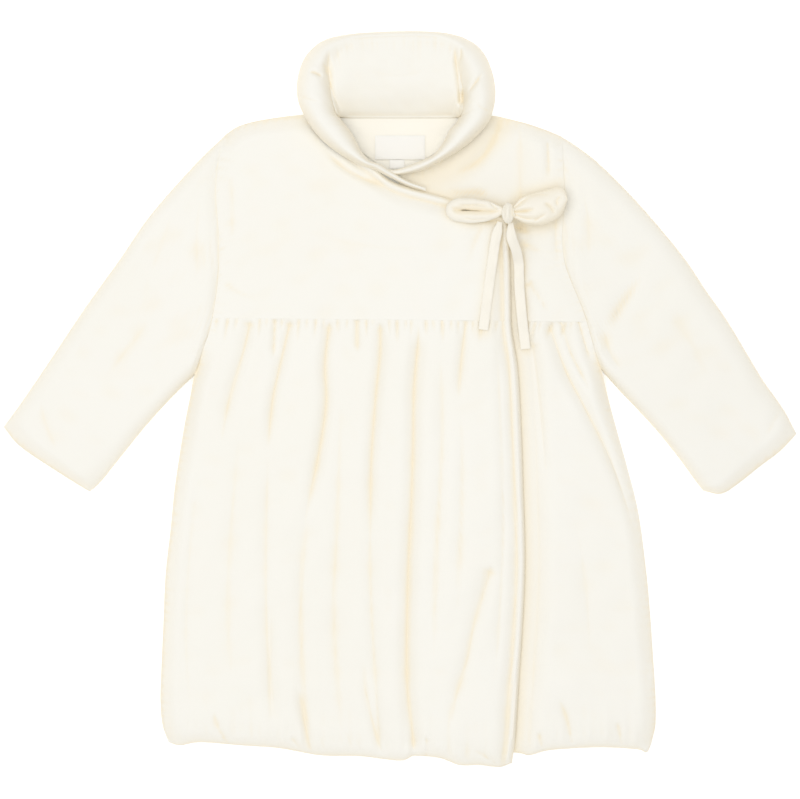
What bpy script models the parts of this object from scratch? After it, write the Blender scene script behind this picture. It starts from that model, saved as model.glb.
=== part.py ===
"""A child's wrap-front down coat, laid out flat on its back.

The coat is seen from above: +X is the wearer's left side, +Y runs towards the collar and +Z is up.
Sizes are in millimetres and MM turns them into metres. Every piece that a maker would cut is one
closed wall: an outer skin and an inner skin over the same lattice, joined at the edges.
The back lies on the surface, the under front lies on it, and the wrap front lies over both.
"""

import math
from collections import namedtuple

import bmesh
import bpy
import numpy as np

MM = 0.001

# Levels of the layers as they lie, measured up from the surface.
BACK_LEVEL = 10.0
LAYER_GAP = 0.5
FRONT_LEVEL = BACK_LEVEL + LAYER_GAP
UNDER_HIDDEN_FILL = 8.0
OVERLAP_RISE = UNDER_HIDDEN_FILL + LAYER_GAP

# Thickness of the filled panels, and how far from a seam the filling takes to reach it.
FULL_FILL = 11.5
SIDE_EDGE = 3.0
WAIST_EDGE = 6.0
HEM_EDGE = 4.0
BACK_EDGE = 3.5
PUFF_RUN = 16.0
WAIST_RUN = 15.0
THINNEST = 2.5

# The under front stays thin this far past the wrap edge, where the wrap front lies on it.
CLEAR_START = 14.0

# The rolled edge of the wrap front: a narrow filled roll with a stitched groove behind it.
ROLL_EDGE = 5.0
ROLL_FILL = 9.5
ROLL_WIDTH = 9.0
GROOVE_FILL = 6.5
GROOVE_RUN = 15.0

# The bubble hem swells above its edge and has died out at BUBBLE_REACH times its height.
BUBBLE_RISE = 2.0
BUBBLE_HEIGHT = 30.0
BUBBLE_REACH = 3.0

SEAM_GAP = 0.3
ARMHOLE_GAP = 0.9
LINE_SAMPLES = 10
MERGE_GAP = 0.001
SHARP_ANGLE = math.radians(50.0)

# The waist seam crosses the coat almost level.
WAIST_Y = 79.0
WAIST_SLOPE = -0.0105

# The armholes, from the shoulder down to the underarm, and the side seams, on to the hem.
RIGHT_ARMHOLE = ((-176, 264), (-182, 232), (-184, 202), (-181, 161), (-182, 120), (-186, 90),
                 (-190, 70), (-198, 47), (-206, 24))
LEFT_ARMHOLE = ((162, 263), (163, 238), (164, 208), (163, 182), (162, 158), (165, 135), (171, 118),
                (179, 99), (186, 80), (191, 62), (196, 45), (202, 29))
RIGHT_SIDE = ((-206, 24), (-210, 4), (-216, -26), (-221, -56), (-226, -91), (-230, -131),
              (-235, -176), (-237, -221), (-239, -266), (-240, -301), (-238, -326), (-232, -344))
LEFT_SIDE = ((202, 29), (210, -4), (219, -37), (228, -69), (239, -114), (247, -174), (251, -219),
             (254, -264), (256, -299), (256, -326), (252, -345))

# The shoulders and the necklines, from the armhole to the wrap edge.
RIGHT_SHOULDER = ((-176, 264), (-160, 274), (-130, 281), (-85, 285))
LEFT_SHOULDER = ((85, 284), (120, 278), (145, 270), (162, 263))
WRAP_NECKLINE = ((-85, 285), (-74, 272), (-50, 250), (-27, 233), (-10, 219), (10, 211), (47, 201),
                 (80, 189), (106, 180))
UNDER_NECKLINE = ((-2, 222), (5, 226), (25, 233), (43, 243), (57, 256), (69, 270), (85, 284))
BACK_NECKLINE = ((-85, 285), (-68, 279.5), (-40, 279.6), (0, 279.6), (40, 279.6), (68, 279.5),
                 (85, 284))

# The free edge of the wrap front, and the edge of the under front that it hides.
WRAP_EDGE = ((106, 180), (110, 140), (111, 99), (112, 69), (118, 29), (121, -25), (123, -83),
             (125, -159), (123, -218), (118, -294), (115, -340), (112, -364))
HIDDEN_EDGE = ((-2, 222), (8, 140), (15, 79), (24, -40), (28, -160), (28, -352))
HIDDEN_RAMP_START = -27.0
HIDDEN_RAMP_END = -5.0

# The hems.
WRAP_HEM = ((-232, -344), (-220, -347), (-200, -344), (-160, -347), (-120, -350), (-80, -357),
            (-40, -358), (0, -362), (15, -357), (40, -359), (60, -366), (80, -366), (100, -368),
            (112, -364))
UNDER_HEM = ((28, -350), (112, -354), (129, -357), (144, -353), (160, -351), (200, -349),
             (237, -351), (247, -354), (252, -345))
BACK_HEM = ((-232, -344), (-120, -345), (0, -348), (120, -348), (252, -345))

# The lines that the lattice of each skirt follows, from the waist to the hem.
WRAP_SKIRT_LINES = (
    ((-149, 80), (-157, 46), (-172, -6), (-190, -120), (-200, -240), (-202, -345)),
    ((-109, 80), (-122, 25), (-128, -6), (-132, -60), (-134, -180), (-131, -290), (-128, -350)),
    ((-70, 80), (-75, 36), (-74, -6), (-82, -59), (-96, -130), (-103, -230), (-103, -290), (-92, -356)),
    ((-20, 80), (-20, 46), (-25, -6), (-29, -69), (-30, -154), (-36, -267), (-30, -310), (-18, -360)),
    ((18, 80), (18, 57), (14, 9), (13, -48), (11, -111), (8, -183), (7, -278), (13, -358)),
    ((66, 80), (60, 15), (66, -80), (84, -165), (72, -233), (66, -263), (52, -302), (44, -361)),
)
UNDER_SKIRT_LINES = (
    ((111, 79), (118, 29), (121, -25), (123, -83), (125, -159), (123, -218), (118, -294), (114, -355)),
    ((131, 79), (138, 20), (146, -40), (158, -120), (168, -240), (168, -351)),
    ((148, 79), (166, 28), (184, -7), (204, -50), (214, -100), (220, -180), (222, -350)),
)
BACK_SKIRT_LINES = (((-60, 80), (-80, -345)), ((60, 80), (80, -348)))

# How strongly a skirt's columns crowd towards those lines, and the columns between two of them.
COLUMN_PULL = 0.055
WRAP_SKIRT_CELLS = 8
UNDER_SKIRT_CELLS = 6
BACK_SKIRT_CELLS = 5

# A fold fades in over the first share of its height and out over the last one.
FOLD_START = 0.12
FOLD_END = 0.35
HEM_FOLD_SHARE = 0.2
Fold = namedtuple("Fold", "name line depth width")

WRAP_SKIRT_FOLDS = (
    Fold("right slant", ((-149, 84), (-157, 46), (-172, -6), (-178, -40)), 4.0, 8.0),
    Fold("right tuck", ((-125, 84), (-126, 55), (-127, 40)), 3.0, 5.0),
    Fold("right fall", ((-109, 84), (-122, 25), (-128, -6), (-133, -60)), 4.5, 8.0),
    Fold("middle right fall", ((-70, 84), (-75, 36), (-74, -6), (-82, -59), (-98, -135)), 5.0, 8.0),
    Fold("middle tuck", ((-43, 84), (-43, 60), (-43, 48)), 3.0, 5.0),
    Fold("middle fall", ((-20, 84), (-20, 46), (-25, -6), (-29, -69), (-30, -165)), 5.0, 8.0),
    Fold("deep fall", ((18, 84), (18, 57), (14, 9), (13, -48), (11, -111), (8, -183), (7, -278),
                       (13, -370)), 7.0, 8.0),
    Fold("wrap tuck", ((66, 84), (59, 15), (60, -5)), 3.5, 7.0),
    Fold("edge slant", ((92, -165), (83, -195), (72, -233), (66, -263), (54, -302), (44, -372)), 4.0, 9.0),
    Fold("hem pinch right", ((-128, -200), (-130, -288), (-126, -330)), 3.0, 8.0),
    Fold("hem pinch middle right", ((-104, -280), (-94, -331), (-90, -365)), 3.5, 6.0),
    Fold("hem pinch middle", ((-36, -255), (-33, -299), (-22, -340)), 3.0, 7.0),
    Fold("hem pinch corner", ((-184, -305), (-176, -337), (-172, -352)), 2.5, 6.0),
)
UNDER_SKIRT_FOLDS = (
    Fold("side fall", ((147, 84), (166, 28), (184, -7), (206, -50), (222, -92), (238, -145)), 5.0, 8.0),
    Fold("side tuck", ((160, 84), (170, 48), (184, 20), (192, 2)), 3.5, 5.0),
    Fold("armhole tuck", ((180, 84), (188, 52), (195, 34)), 3.0, 5.0),
    Fold("soft fall", ((134, 10), (141, -20), (147, -62)), 2.5, 8.0),
    Fold("hem pinch left", ((158, -300), (171, -326), (176, -345)), 3.0, 6.0),
)
WRAP_BODICE_FOLDS = (
    Fold("armhole crease", ((-172, 230), (-170, 190), (-168, 150)), 2.0, 6.0),
    Fold("under bow dimple", ((78, 172), (70, 150), (66, 120)), 1.5, 9.0),
)
UNDER_BODICE_FOLDS = (
    Fold("armhole crease high", ((150, 262), (149, 244), (148, 222)), 2.5, 5.0),
    Fold("chest fall", ((150, 210), (154, 190), (156, 160), (158, 130)), 2.0, 6.0),
    Fold("under bow slant", ((128, 118), (140, 100), (148, 84)), 2.0, 7.0),
)

# Small gathers stand along the waist seam and die out down the skirt, no two of the same depth.
GATHER_DEPTH = 1.9
GATHER_RUN = 38.0
GATHER_CHANGE = 0.35
GATHER_TURN = 2.3

# The sleeves lie as flattened tubes. Their fold lines sit at SLEEVE_MID above the surface.
RIGHT_SLEEVE_OUTER = ((-176.5, 264), (-207, 234), (-251, 184), (-282, 139), (-315, 93), (-345, 48),
                      (-376, 2), (-397.5, -28))
RIGHT_SLEEVE_INNER = ((-206.5, 24), (-220, 11), (-240, -10), (-260, -33), (-280, -58), (-300, -83),
                      (-311, -93))
RIGHT_CUFF = ((-397.5, -28), (-380, -48), (-340, -75), (-311, -93))
LEFT_SLEEVE_OUTER = ((162.5, 263), (181, 251), (201, 235), (233, 203), (263, 169), (287, 139), (307, 109),
                     (328, 79), (346, 49), (364, 19), (385, -11), (397.5, -35))
LEFT_SLEEVE_INNER = ((202.5, 28), (220, 8), (240, -13), (260, -35), (280, -60), (296, -82), (304, -92))
LEFT_CUFF = ((397.5, -35), (380, -53), (360, -68), (340, -84), (322, -95), (304, -92))
SLEEVE_MID = 9.25
SLEEVE_RISE = 13.5
SLEEVE_ROUND = 22.0
SLEEVE_UNDER_ROUND = 15.0
SLEEVE_END_SHARE_TOP = 0.26
SLEEVE_END_SHARE_UNDER = 0.40
SLEEVE_END_RUN = 15.0
SLEEVE_SLIT = 0.7
SLEEVE_WALL = 6.0
RIGHT_SLEEVE_FOLDS = (
    Fold("elbow crease", ((-262, 60), (-275, 40), (-292, 25)), 2.5, 8.0),
    Fold("head crease", ((-200, 190), (-205, 165), (-206, 135)), 2.0, 7.0),
)
LEFT_SLEEVE_FOLDS = (
    Fold("elbow crease", ((238, 121), (226, 102), (213, 78)), 3.0, 7.0),
    Fold("underarm crease", ((207, 62), (212, 46), (222, 30)), 2.5, 6.0),
    Fold("cuff crease", ((384, 14), (378, -12), (366, -34)), 2.0, 6.0),
)

# The fold-over collar: a standing back and two side rolls that cross at the front.
COLLAR_BACK_TOP = ((-74, 360), (-55, 364), (-33, 366.5), (10, 368), (48, 366.5), (62, 363))
COLLAR_BACK_RIGHT = ((-74, 360), (-73, 350), (-72, 324), (-66, 303), (-57, 281.6))
COLLAR_BACK_LEFT = ((62, 363), (58, 350), (58, 318), (59, 296), (56, 281.6))
COLLAR_BACK_NECK = ((-57, 281.6), (0, 281.6), (56, 281.6))
RIGHT_ROLL_OUTER = ((-74.6, 360), (-85, 353), (-96, 341), (-103, 318), (-102, 296), (-93, 279), (-80, 261),
                    (-69, 251), (-54, 241), (-38, 233), (-15, 221))
RIGHT_ROLL_INNER = ((-74.2, 350), (-72.8, 324), (-66.8, 302), (-57.8, 281), (-50, 269), (-43, 256),
                    (-38, 247), (-28, 235), (-15, 226))
LEFT_ROLL_OUTER = ((62.8, 363), (78, 354), (90, 336), (95, 309), (94, 287), (87, 275), (71, 258),
                   (53, 244), (30, 231), (13, 225), (-3, 224))
LEFT_ROLL_INNER = ((58.8, 350), (58.8, 318), (59.8, 296), (57.6, 281), (50, 272), (44, 258), (33, 244),
                   (14, 236), (-4, 229))

RollLevel = namedtuple("RollLevel", "share low high")
RIGHT_ROLL_LEVELS = (
    RollLevel(0.00, 0.0, 34.0), RollLevel(0.12, 0.0, 42.0), RollLevel(0.26, 0.0, 47.0),
    RollLevel(0.36, 4.0, 49.0), RollLevel(0.43, 22.8, 50.0), RollLevel(0.70, 22.8, 48.0),
    RollLevel(0.86, 24.0, 44.0), RollLevel(1.00, 31.2, 40.0),
)
LEFT_ROLL_LEVELS = (
    RollLevel(0.00, 0.0, 34.0), RollLevel(0.12, 0.0, 43.0), RollLevel(0.26, 0.0, 48.0),
    RollLevel(0.32, 4.0, 49.0), RollLevel(0.40, 22.8, 50.0), RollLevel(0.66, 22.8, 46.0),
    RollLevel(0.86, 22.8, 39.0), RollLevel(1.00, 22.8, 32.0),
)
ROLL_EDGE_WALL = 2.0
COLLAR_RIM_HEIGHT = 36.0
COLLAR_RIM_AT = 13.0
COLLAR_RIM_RUN = 26.0
COLLAR_INNER_HEIGHT = 29.0
COLLAR_NECK_HEIGHT = 13.5
COLLAR_EDGE_MID = 16.0
COLLAR_ROUND = 12.0
COLLAR_PINCH = 5.0

# A roll rounds off towards its ends, and its underside reaches its level sooner than its top.
ROLL_END_RUN = 0.05
ROLL_END_BULGE = 0.35
ROLL_UNDER_RATE = 1.6

# The tie: a small open loop, a full loop, a knot and two ribbon tails.
SHORT_LOOP_CENTRE = (77.5, 187.0, 35.5)
SHORT_LOOP_SPAN = (20.6, 6.6)
SHORT_LOOP_BAND = (4.6, 6.6)
SHORT_LOOP_TURN = math.radians(-6.0)
SHORT_LOOP_CELLS = (20, 8)
KNOT_CENTRE = (108.0, 185.0, 38.5)
KNOT_SIZE = (5.2, 10.0, 10.2)
KNOT_CELLS = (14, 8)
KNOT_CREASE = 0.16
KNOT_CREASES = 3.0
FULL_LOOP_TOP = ((114.2, 193), (122, 201), (145, 208), (157, 211), (164, 208), (167, 198))
FULL_LOOP_FOOT = ((114.2, 181), (125, 174), (140, 173), (152, 177), (161, 184), (167, 198))
FULL_LOOP_LOW = 23.0
FULL_LOOP_HIGH = 56.0
FULL_LOOP_ROOT = (33.5, 43.5)
FULL_LOOP_WALL = 1.0
FULL_LOOP_FALL = 0.5
FULL_LOOP_FOLDS = 3
FULL_LOOP_FOLD_DEPTH = 3.5
FULL_LOOP_FOLD_START = 0.35
FULL_LOOP_FOLD_RUN = 0.5

# The full loop's swell: its share at the root and at the tip, and how early and how round it is.
FULL_LOOP_ROOT_SWELL = 0.12
FULL_LOOP_TIP_SWELL = 0.2
FULL_LOOP_TIP_FROM = 0.98
FULL_LOOP_EARLY = 0.8
FULL_LOOP_ROUND = 0.6

RIBBON_WIDTH = 10.0
RIBBON_THICK = 2.0
RIBBON_CELLS = 3
RIGHT_TAIL_ROWS = 12
LEFT_TAIL_ROWS = 18
HEADING_STEP = 0.02
RibbonStop = namedtuple("RibbonStop", "x y z")
RIGHT_TAIL = (
    RibbonStop(99.6, 176.5, 32.8), RibbonStop(95.5, 160, 32.0), RibbonStop(91, 130, 31.9),
    RibbonStop(87, 100, 31.9), RibbonStop(83, 69, 31.9),
)
LEFT_TAIL = (
    RibbonStop(110.4, 175.8, 32.9), RibbonStop(111, 162, 32.4), RibbonStop(116, 148, 28.6),
    RibbonStop(118.5, 136, 22.8), RibbonStop(119, 124, 21.2), RibbonStop(119.5, 110, 21.2),
    RibbonStop(121.5, 86, 21.0), RibbonStop(125.5, 50, 20.0),
)

# The inside of the neck: a facing on the back, and a bare label with a bare size tab.
FACING_RIGHT = ((-8, 226), (-24, 237), (-42, 251), (-56, 266), (-64, 280.3))
FACING_LEFT = ((-1, 229), (22, 239.5), (36, 247), (48, 257), (57, 268), (62, 280.3))
FACING_THICK = 1.6
FACING_LEVEL = BACK_LEVEL + 0.3
LABEL_SIZE = (50.0, 24.0, 0.8)
LABEL_CENTRE = (0.0, 252.0)
TAB_SIZE = (15.0, 9.0, 0.8)
TAB_CENTRE = (-3.0, 235.0)
LABEL_LEVEL = FACING_LEVEL + FACING_THICK + 0.3
FACING_CELLS = 8

# Where each lattice has its lines, as shares of the piece's width or length. EndStops has close
# lines near both ends and even ones between them.
EndStops = namedtuple("EndStops", "count near")
BACK_BODICE_COLUMNS = EndStops(9, (0.012, 0.04))
BACK_BODICE_ROWS = EndStops(10, (0.02, 0.07))
BACK_SKIRT_ROWS = (0.0, 0.03, 0.07, 0.12, 0.2, 0.35, 0.55, 0.75, 0.88, 0.95, 0.985, 1.0)
WRAP_BODICE_COLUMNS = (0.0, 0.012, 0.035, 0.08, 0.14, 0.2, 0.27, 0.34, 0.41, 0.48, 0.55, 0.62, 0.69,
                       0.76, 0.83, 0.89, 0.93, 0.957, 0.972, 0.986, 1.0)
WRAP_BODICE_ROWS = (0.0, 0.02, 0.06, 0.14, 0.26, 0.4, 0.55, 0.68, 0.78, 0.85, 0.9, 0.93, 0.955, 0.98,
                    1.0)
WRAP_SKIRT_ROWS = (0.0, 0.012, 0.03, 0.055, 0.09, 0.135, 0.19, 0.25, 0.32, 0.4, 0.48, 0.56, 0.64,
                   0.72, 0.8, 0.86, 0.91, 0.945, 0.97, 0.984, 0.994, 1.0)
UNDER_BODICE_COLUMNS = EndStops(10, (0.03, 0.08))
UNDER_BODICE_ROWS = EndStops(9, (0.02, 0.06))
UNDER_SKIRT_ROWS = (0.0, 0.012, 0.035, 0.07, 0.12, 0.18, 0.25, 0.33, 0.42, 0.52, 0.62, 0.72, 0.81,
                    0.88, 0.93, 0.965, 0.985, 1.0)
SLEEVE_AROUND = (0.0, 0.012, 0.04, 0.09, 0.17, 0.28, 0.4, 0.52, 0.64, 0.76, 0.86, 0.93, 0.975, 1.0)
SLEEVE_ROWS = (0.0, 0.015, 0.04, 0.08, 0.15, 0.23, 0.32, 0.42, 0.52, 0.62, 0.72, 0.81, 0.89, 0.94,
               0.97, 0.988, 1.0)
COLLAR_COLUMNS = EndStops(8, (0.03, 0.09))
COLLAR_ROWS = (0.0, 0.04, 0.12, 0.28, 0.46, 0.62, 0.74, 0.82, 0.88, 0.93, 0.97, 0.99, 1.0)
ROLL_COLUMNS = EndStops(7, (0.04, 0.14))
ROLL_ROWS = EndStops(19, (0.006, 0.025))
FULL_LOOP_COLUMNS = EndStops(9, (0.05, 0.15))
FULL_LOOP_ROWS = (0.0, 0.06, 0.16, 0.3, 0.45, 0.6, 0.75, 0.87, 0.95, 0.985)

# Finishes: colour, roughness.
Finish = namedtuple("Finish", "colour roughness")
SHELL = Finish((0.87, 0.84, 0.76, 1.0), 0.62)
RIBBON = Finish((0.88, 0.84, 0.74, 1.0), 0.48)
FACING = Finish((0.90, 0.88, 0.82, 1.0), 0.70)
LABEL = Finish((0.93, 0.92, 0.90, 1.0), 0.55)


def ease(share):
    """Rise from 0 to 1 as a filled panel rises from its seam."""
    return math.sin(0.5 * math.pi * min(max(share, 0.0), 1.0))


def round_off(share):
    """Rise from 0 to 1 as a quarter circle, upright at the start."""
    left = 1.0 - min(max(share, 0.0), 1.0)
    return math.sqrt(1.0 - left * left)


def glide(share):
    """Go from 0 to 1 level at both ends."""
    part = min(max(share, 0.0), 1.0)
    return part * part * (3.0 - 2.0 * part)


class Line:
    """A smooth line through a few points, read by its share of length, by x or by y."""

    def __init__(self, points):
        knots = np.array(points, dtype=float)
        ahead = np.vstack([2 * knots[0] - knots[1], knots, 2 * knots[-1] - knots[-2]])
        dense = []
        for index in range(len(knots) - 1):
            before, start, end, after = ahead[index:index + 4]
            for part in np.linspace(0.0, 1.0, LINE_SAMPLES, endpoint=False):
                slope = (end - before) * part
                bend = (2 * before - 5 * start + 4 * end - after) * part ** 2
                turn = (3 * start - before - 3 * end + after) * part ** 3
                dense.append(0.5 * (2 * start + slope + bend + turn))
        dense.append(knots[-1])
        self.points = np.array(dense)
        steps = np.linalg.norm(np.diff(self.points, axis=0), axis=1)
        self.shares = np.concatenate([[0.0], np.cumsum(steps)]) / steps.sum()

    def at(self, share):
        """The point at a share of the line's length."""
        return np.array([np.interp(share, self.shares, column) for column in self.points.T])

    def x_at(self, y):
        """The x of a line that runs down the coat."""
        return float(np.interp(-y, -self.points[:, 1], self.points[:, 0]))

    def y_at(self, x):
        """The y of a line that runs across the coat."""
        return float(np.interp(x, self.points[:, 0], self.points[:, 1]))

    def away(self, x, y):
        """The distance from a point to the line."""
        starts = self.points[:-1]
        spans = self.points[1:] - starts
        to_point = np.array([x, y]) - starts
        lengths = np.maximum((spans ** 2).sum(axis=1), 1e-9)
        shares = np.clip((to_point * spans).sum(axis=1) / lengths, 0.0, 1.0)
        nearest = starts + spans * shares[:, None]
        return float(np.sqrt(((nearest - [x, y]) ** 2).sum(axis=1)).min())


RIGHT_OUTLINE = Line(RIGHT_ARMHOLE + RIGHT_SIDE[1:])
LEFT_OUTLINE = Line(LEFT_ARMHOLE + LEFT_SIDE[1:])
WRAP_LINE = Line(WRAP_EDGE)
WRAP_RIM = Line(WRAP_NECKLINE + WRAP_EDGE[1:])
HIDDEN_LINE = Line(HIDDEN_EDGE)
WRAP_HEM_LINE = Line(WRAP_HEM)
UNDER_HEM_LINE = Line(UNDER_HEM)
BACK_HEM_LINE = Line(BACK_HEM)
RIGHT_SHOULDER_LINE = Line(RIGHT_SHOULDER)
LEFT_SHOULDER_LINE = Line(LEFT_SHOULDER)
UNDER_NECK_LINE = Line(UNDER_NECKLINE)


def waist(x):
    """The height of the waist seam across the coat."""
    return WAIST_Y + WAIST_SLOPE * x


def folds_at(x, y, folds):
    """How deep the folds are at a point."""
    depth = 0.0
    for fold in folds:
        line = FOLD_LINES[fold]
        top, foot = line.points[0][1], line.points[-1][1]
        if not foot < y < top:
            continue
        share = (top - y) / (top - foot)
        fade = min(glide(share / FOLD_START), glide((1.0 - share) / FOLD_END))
        offset = (x - line.x_at(y)) / fold.width
        depth += fold.depth * fade * math.exp(-offset * offset)
    return depth


FOLD_TABLES = (WRAP_SKIRT_FOLDS, UNDER_SKIRT_FOLDS, WRAP_BODICE_FOLDS, UNDER_BODICE_FOLDS,
               RIGHT_SLEEVE_FOLDS, LEFT_SLEEVE_FOLDS)
FOLD_LINES = {fold: Line(fold.line) for table in FOLD_TABLES for fold in table}


def rolled_rim(distance):
    """The fill of the wrap front at a distance from its rolled edge."""
    if distance < ROLL_WIDTH:
        swell = round_off(distance / (0.5 * ROLL_WIDTH)) if distance < 0.5 * ROLL_WIDTH else 1.0
        fall = glide((distance - 0.5 * ROLL_WIDTH) / (0.5 * ROLL_WIDTH))
        return ROLL_EDGE + (ROLL_FILL - ROLL_EDGE) * swell - (ROLL_FILL - GROOVE_FILL) * fall
    return GROOVE_FILL + (FULL_FILL - GROOVE_FILL) * ease((distance - ROLL_WIDTH) / GROOVE_RUN)


def wrap_floor(x, y):
    """The underside of the wrap front, lifted where the under front lies beneath it."""
    edge = HIDDEN_LINE.x_at(y)
    share = (x - edge - HIDDEN_RAMP_START) / (HIDDEN_RAMP_END - HIDDEN_RAMP_START)
    return FRONT_LEVEL + OVERLAP_RISE * glide(share)


def bubble(distance):
    """The extra swell of the bubble hem at a distance above its edge."""
    return BUBBLE_RISE * glide(distance / BUBBLE_HEIGHT) * glide(BUBBLE_REACH - distance / BUBBLE_HEIGHT)


def wrap_skirt_fill(x, y, gather):
    """The thickness of the wrap front's skirt."""
    side = ease((x - RIGHT_OUTLINE.x_at(y)) / PUFF_RUN)
    hem = y - WRAP_HEM_LINE.y_at(x)
    fill = rolled_rim(WRAP_RIM.away(x, y))
    fill = SIDE_EDGE + (fill - SIDE_EDGE) * side
    fill = HEM_EDGE + (fill - HEM_EDGE) * round_off(hem / PUFF_RUN)
    drop = waist(x) - y
    fill = WAIST_EDGE + (fill - WAIST_EDGE) * ease(drop / WAIST_RUN) if fill > WAIST_EDGE else fill
    fill += bubble(hem) - gather * GATHER_DEPTH * max(0.0, 1.0 - drop / GATHER_RUN)
    fold = folds_at(x, y, WRAP_SKIRT_FOLDS) * round_off(hem / PUFF_RUN + HEM_FOLD_SHARE)
    return max(fill - fold, THINNEST)


def under_visible(x, y):
    """The thickness of the under front, fuller where the wrap front leaves it clear."""
    clear = ease((x - WRAP_LINE.x_at(y) - CLEAR_START) / PUFF_RUN)
    return UNDER_HIDDEN_FILL + (FULL_FILL - UNDER_HIDDEN_FILL) * clear


def under_skirt_fill(x, y, gather):
    """The thickness of the under front's skirt."""
    hem = y - UNDER_HEM_LINE.y_at(x)
    shown = glide((x - WRAP_LINE.x_at(y)) / PUFF_RUN)
    fill = under_visible(x, y) + bubble(hem) * shown
    fill = SIDE_EDGE + (fill - SIDE_EDGE) * ease((LEFT_OUTLINE.x_at(y) - x) / PUFF_RUN)
    fill = SIDE_EDGE + (fill - SIDE_EDGE) * ease((x - HIDDEN_LINE.x_at(y)) / PUFF_RUN)
    fill = HEM_EDGE + (fill - HEM_EDGE) * round_off(hem / PUFF_RUN)
    drop = waist(x) - y
    fill = WAIST_EDGE + (fill - WAIST_EDGE) * ease(drop / WAIST_RUN) if fill > WAIST_EDGE else fill
    dip = folds_at(x, y, UNDER_SKIRT_FOLDS) + gather * GATHER_DEPTH * max(0.0, 1.0 - drop / GATHER_RUN)
    return max(fill - dip * shown, THINNEST)


def wrap_bodice_fill(x, y):
    """The thickness of the wrap front's bodice."""
    fill = rolled_rim(WRAP_RIM.away(x, y))
    fill = SIDE_EDGE + (fill - SIDE_EDGE) * ease((x - RIGHT_OUTLINE.x_at(y)) / PUFF_RUN)
    fill = SIDE_EDGE + (fill - SIDE_EDGE) * ease(RIGHT_SHOULDER_LINE.away(x, y) / PUFF_RUN)
    rise = ease((y - waist(x)) / WAIST_RUN)
    fill = WAIST_EDGE + (fill - WAIST_EDGE) * rise if fill > WAIST_EDGE else fill
    return max(fill - folds_at(x, y, WRAP_BODICE_FOLDS), THINNEST)


def under_bodice_fill(x, y):
    """The thickness of the under front's bodice."""
    fill = under_visible(x, y)
    for distance in (LEFT_OUTLINE.x_at(y) - x, LEFT_SHOULDER_LINE.away(x, y),
                     UNDER_NECK_LINE.away(x, y), x - HIDDEN_LINE.x_at(y)):
        fill = SIDE_EDGE + (fill - SIDE_EDGE) * ease(distance / PUFF_RUN)
    rise = ease((y - waist(x)) / WAIST_RUN)
    fill = WAIST_EDGE + (fill - WAIST_EDGE) * rise if fill > WAIST_EDGE else fill
    return max(fill - folds_at(x, y, UNDER_BODICE_FOLDS), THINNEST)


def back_lift(distance):
    """How far the underside of the back rises from the surface near an edge."""
    return (BACK_LEVEL - BACK_EDGE) * (1.0 - round_off(distance / PUFF_RUN))


def finish_material(name, finish):
    """A plain material in one colour."""
    material = bpy.data.materials.new(name)
    material.use_nodes = True
    shader = material.node_tree.nodes["Principled BSDF"]
    shader.inputs["Base Color"].default_value = finish.colour
    shader.inputs["Roughness"].default_value = finish.roughness
    shader.inputs["Metallic"].default_value = 0.0
    return material


def add_object(name, mesh, finish):
    """Turn a bmesh in millimetres into a named object in metres."""
    bmesh.ops.recalc_face_normals(mesh, faces=mesh.faces[:])
    for vert in mesh.verts:
        vert.co *= MM
    data = bpy.data.meshes.new(name)
    mesh.to_mesh(data)
    mesh.free()
    data.shade_smooth()
    data.set_sharp_from_angle(angle=SHARP_ANGLE)
    data.materials.append(finish_material(name, finish))
    piece = bpy.data.objects.new(name, data)
    coat.objects.link(piece)
    return piece


def wall(name, across, along, outer, inner, finish, ring=False):
    """A closed wall between two skins that share a lattice of shares from 0 to 1.

    The lattice starts as a grid. One copy takes the outer skin's places and the other the inner
    skin's, and the rim between them closes the wall. A ring joins the grid's first and last lines.
    """
    mesh = bmesh.new()
    bmesh.ops.create_grid(mesh, x_segments=across, y_segments=along, size=0.5)
    u_layer = mesh.verts.layers.float.new("across")
    v_layer = mesh.verts.layers.float.new("along")
    for vert in mesh.verts:
        vert[u_layer] = vert.co.x + 0.5
        vert[v_layer] = vert.co.y + 0.5
    for vert in mesh.verts:
        vert.co = outer(vert[u_layer], vert[v_layer])
    if ring:
        bmesh.ops.remove_doubles(mesh, verts=mesh.verts[:], dist=MERGE_GAP)
    made = bmesh.ops.extrude_face_region(mesh, geom=mesh.faces[:])
    for item in made["geom"]:
        if isinstance(item, bmesh.types.BMVert):
            item.co = inner(item[u_layer], item[v_layer])
    bmesh.ops.triangulate(mesh, faces=mesh.faces[:], quad_method="SHORT_EDGE")
    return add_object(name, mesh, finish)


def spread(stops):
    """A function that takes a lattice share to the stop with the same rank."""
    ranks = np.linspace(0.0, 1.0, len(stops))
    return lambda share: float(np.interp(share, ranks, stops))


def end_stops(stops):
    """Shares that are close together at both ends and even between them."""
    near = stops.near
    middle = np.linspace(near[-1], 1.0 - near[-1], stops.count)[1:-1]
    return [0.0, *near, *middle, *[1.0 - value for value in reversed(near)], 1.0]


def seam_end(edge):
    """Where a panel's edge meets the upper side of the waist seam."""
    x = edge.x_at(WAIST_Y)
    return x, waist(x) + SEAM_GAP


def patch(foot, head, right, left):
    """Blend four boundary lines into a map from two shares to a point.

    foot and head run across, from the right side to the left; right and left run up.
    """
    corners = (foot.at(0.0), foot.at(1.0), head.at(0.0), head.at(1.0))

    def place(u, v):
        across = (1.0 - v) * foot.at(u) + v * head.at(u)
        up = (1.0 - u) * right.at(v) + u * left.at(v)
        bilinear = ((1.0 - v) * ((1.0 - u) * corners[0] + u * corners[1])
                    + v * ((1.0 - u) * corners[2] + u * corners[3]))
        return across + up - bilinear

    return place


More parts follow.
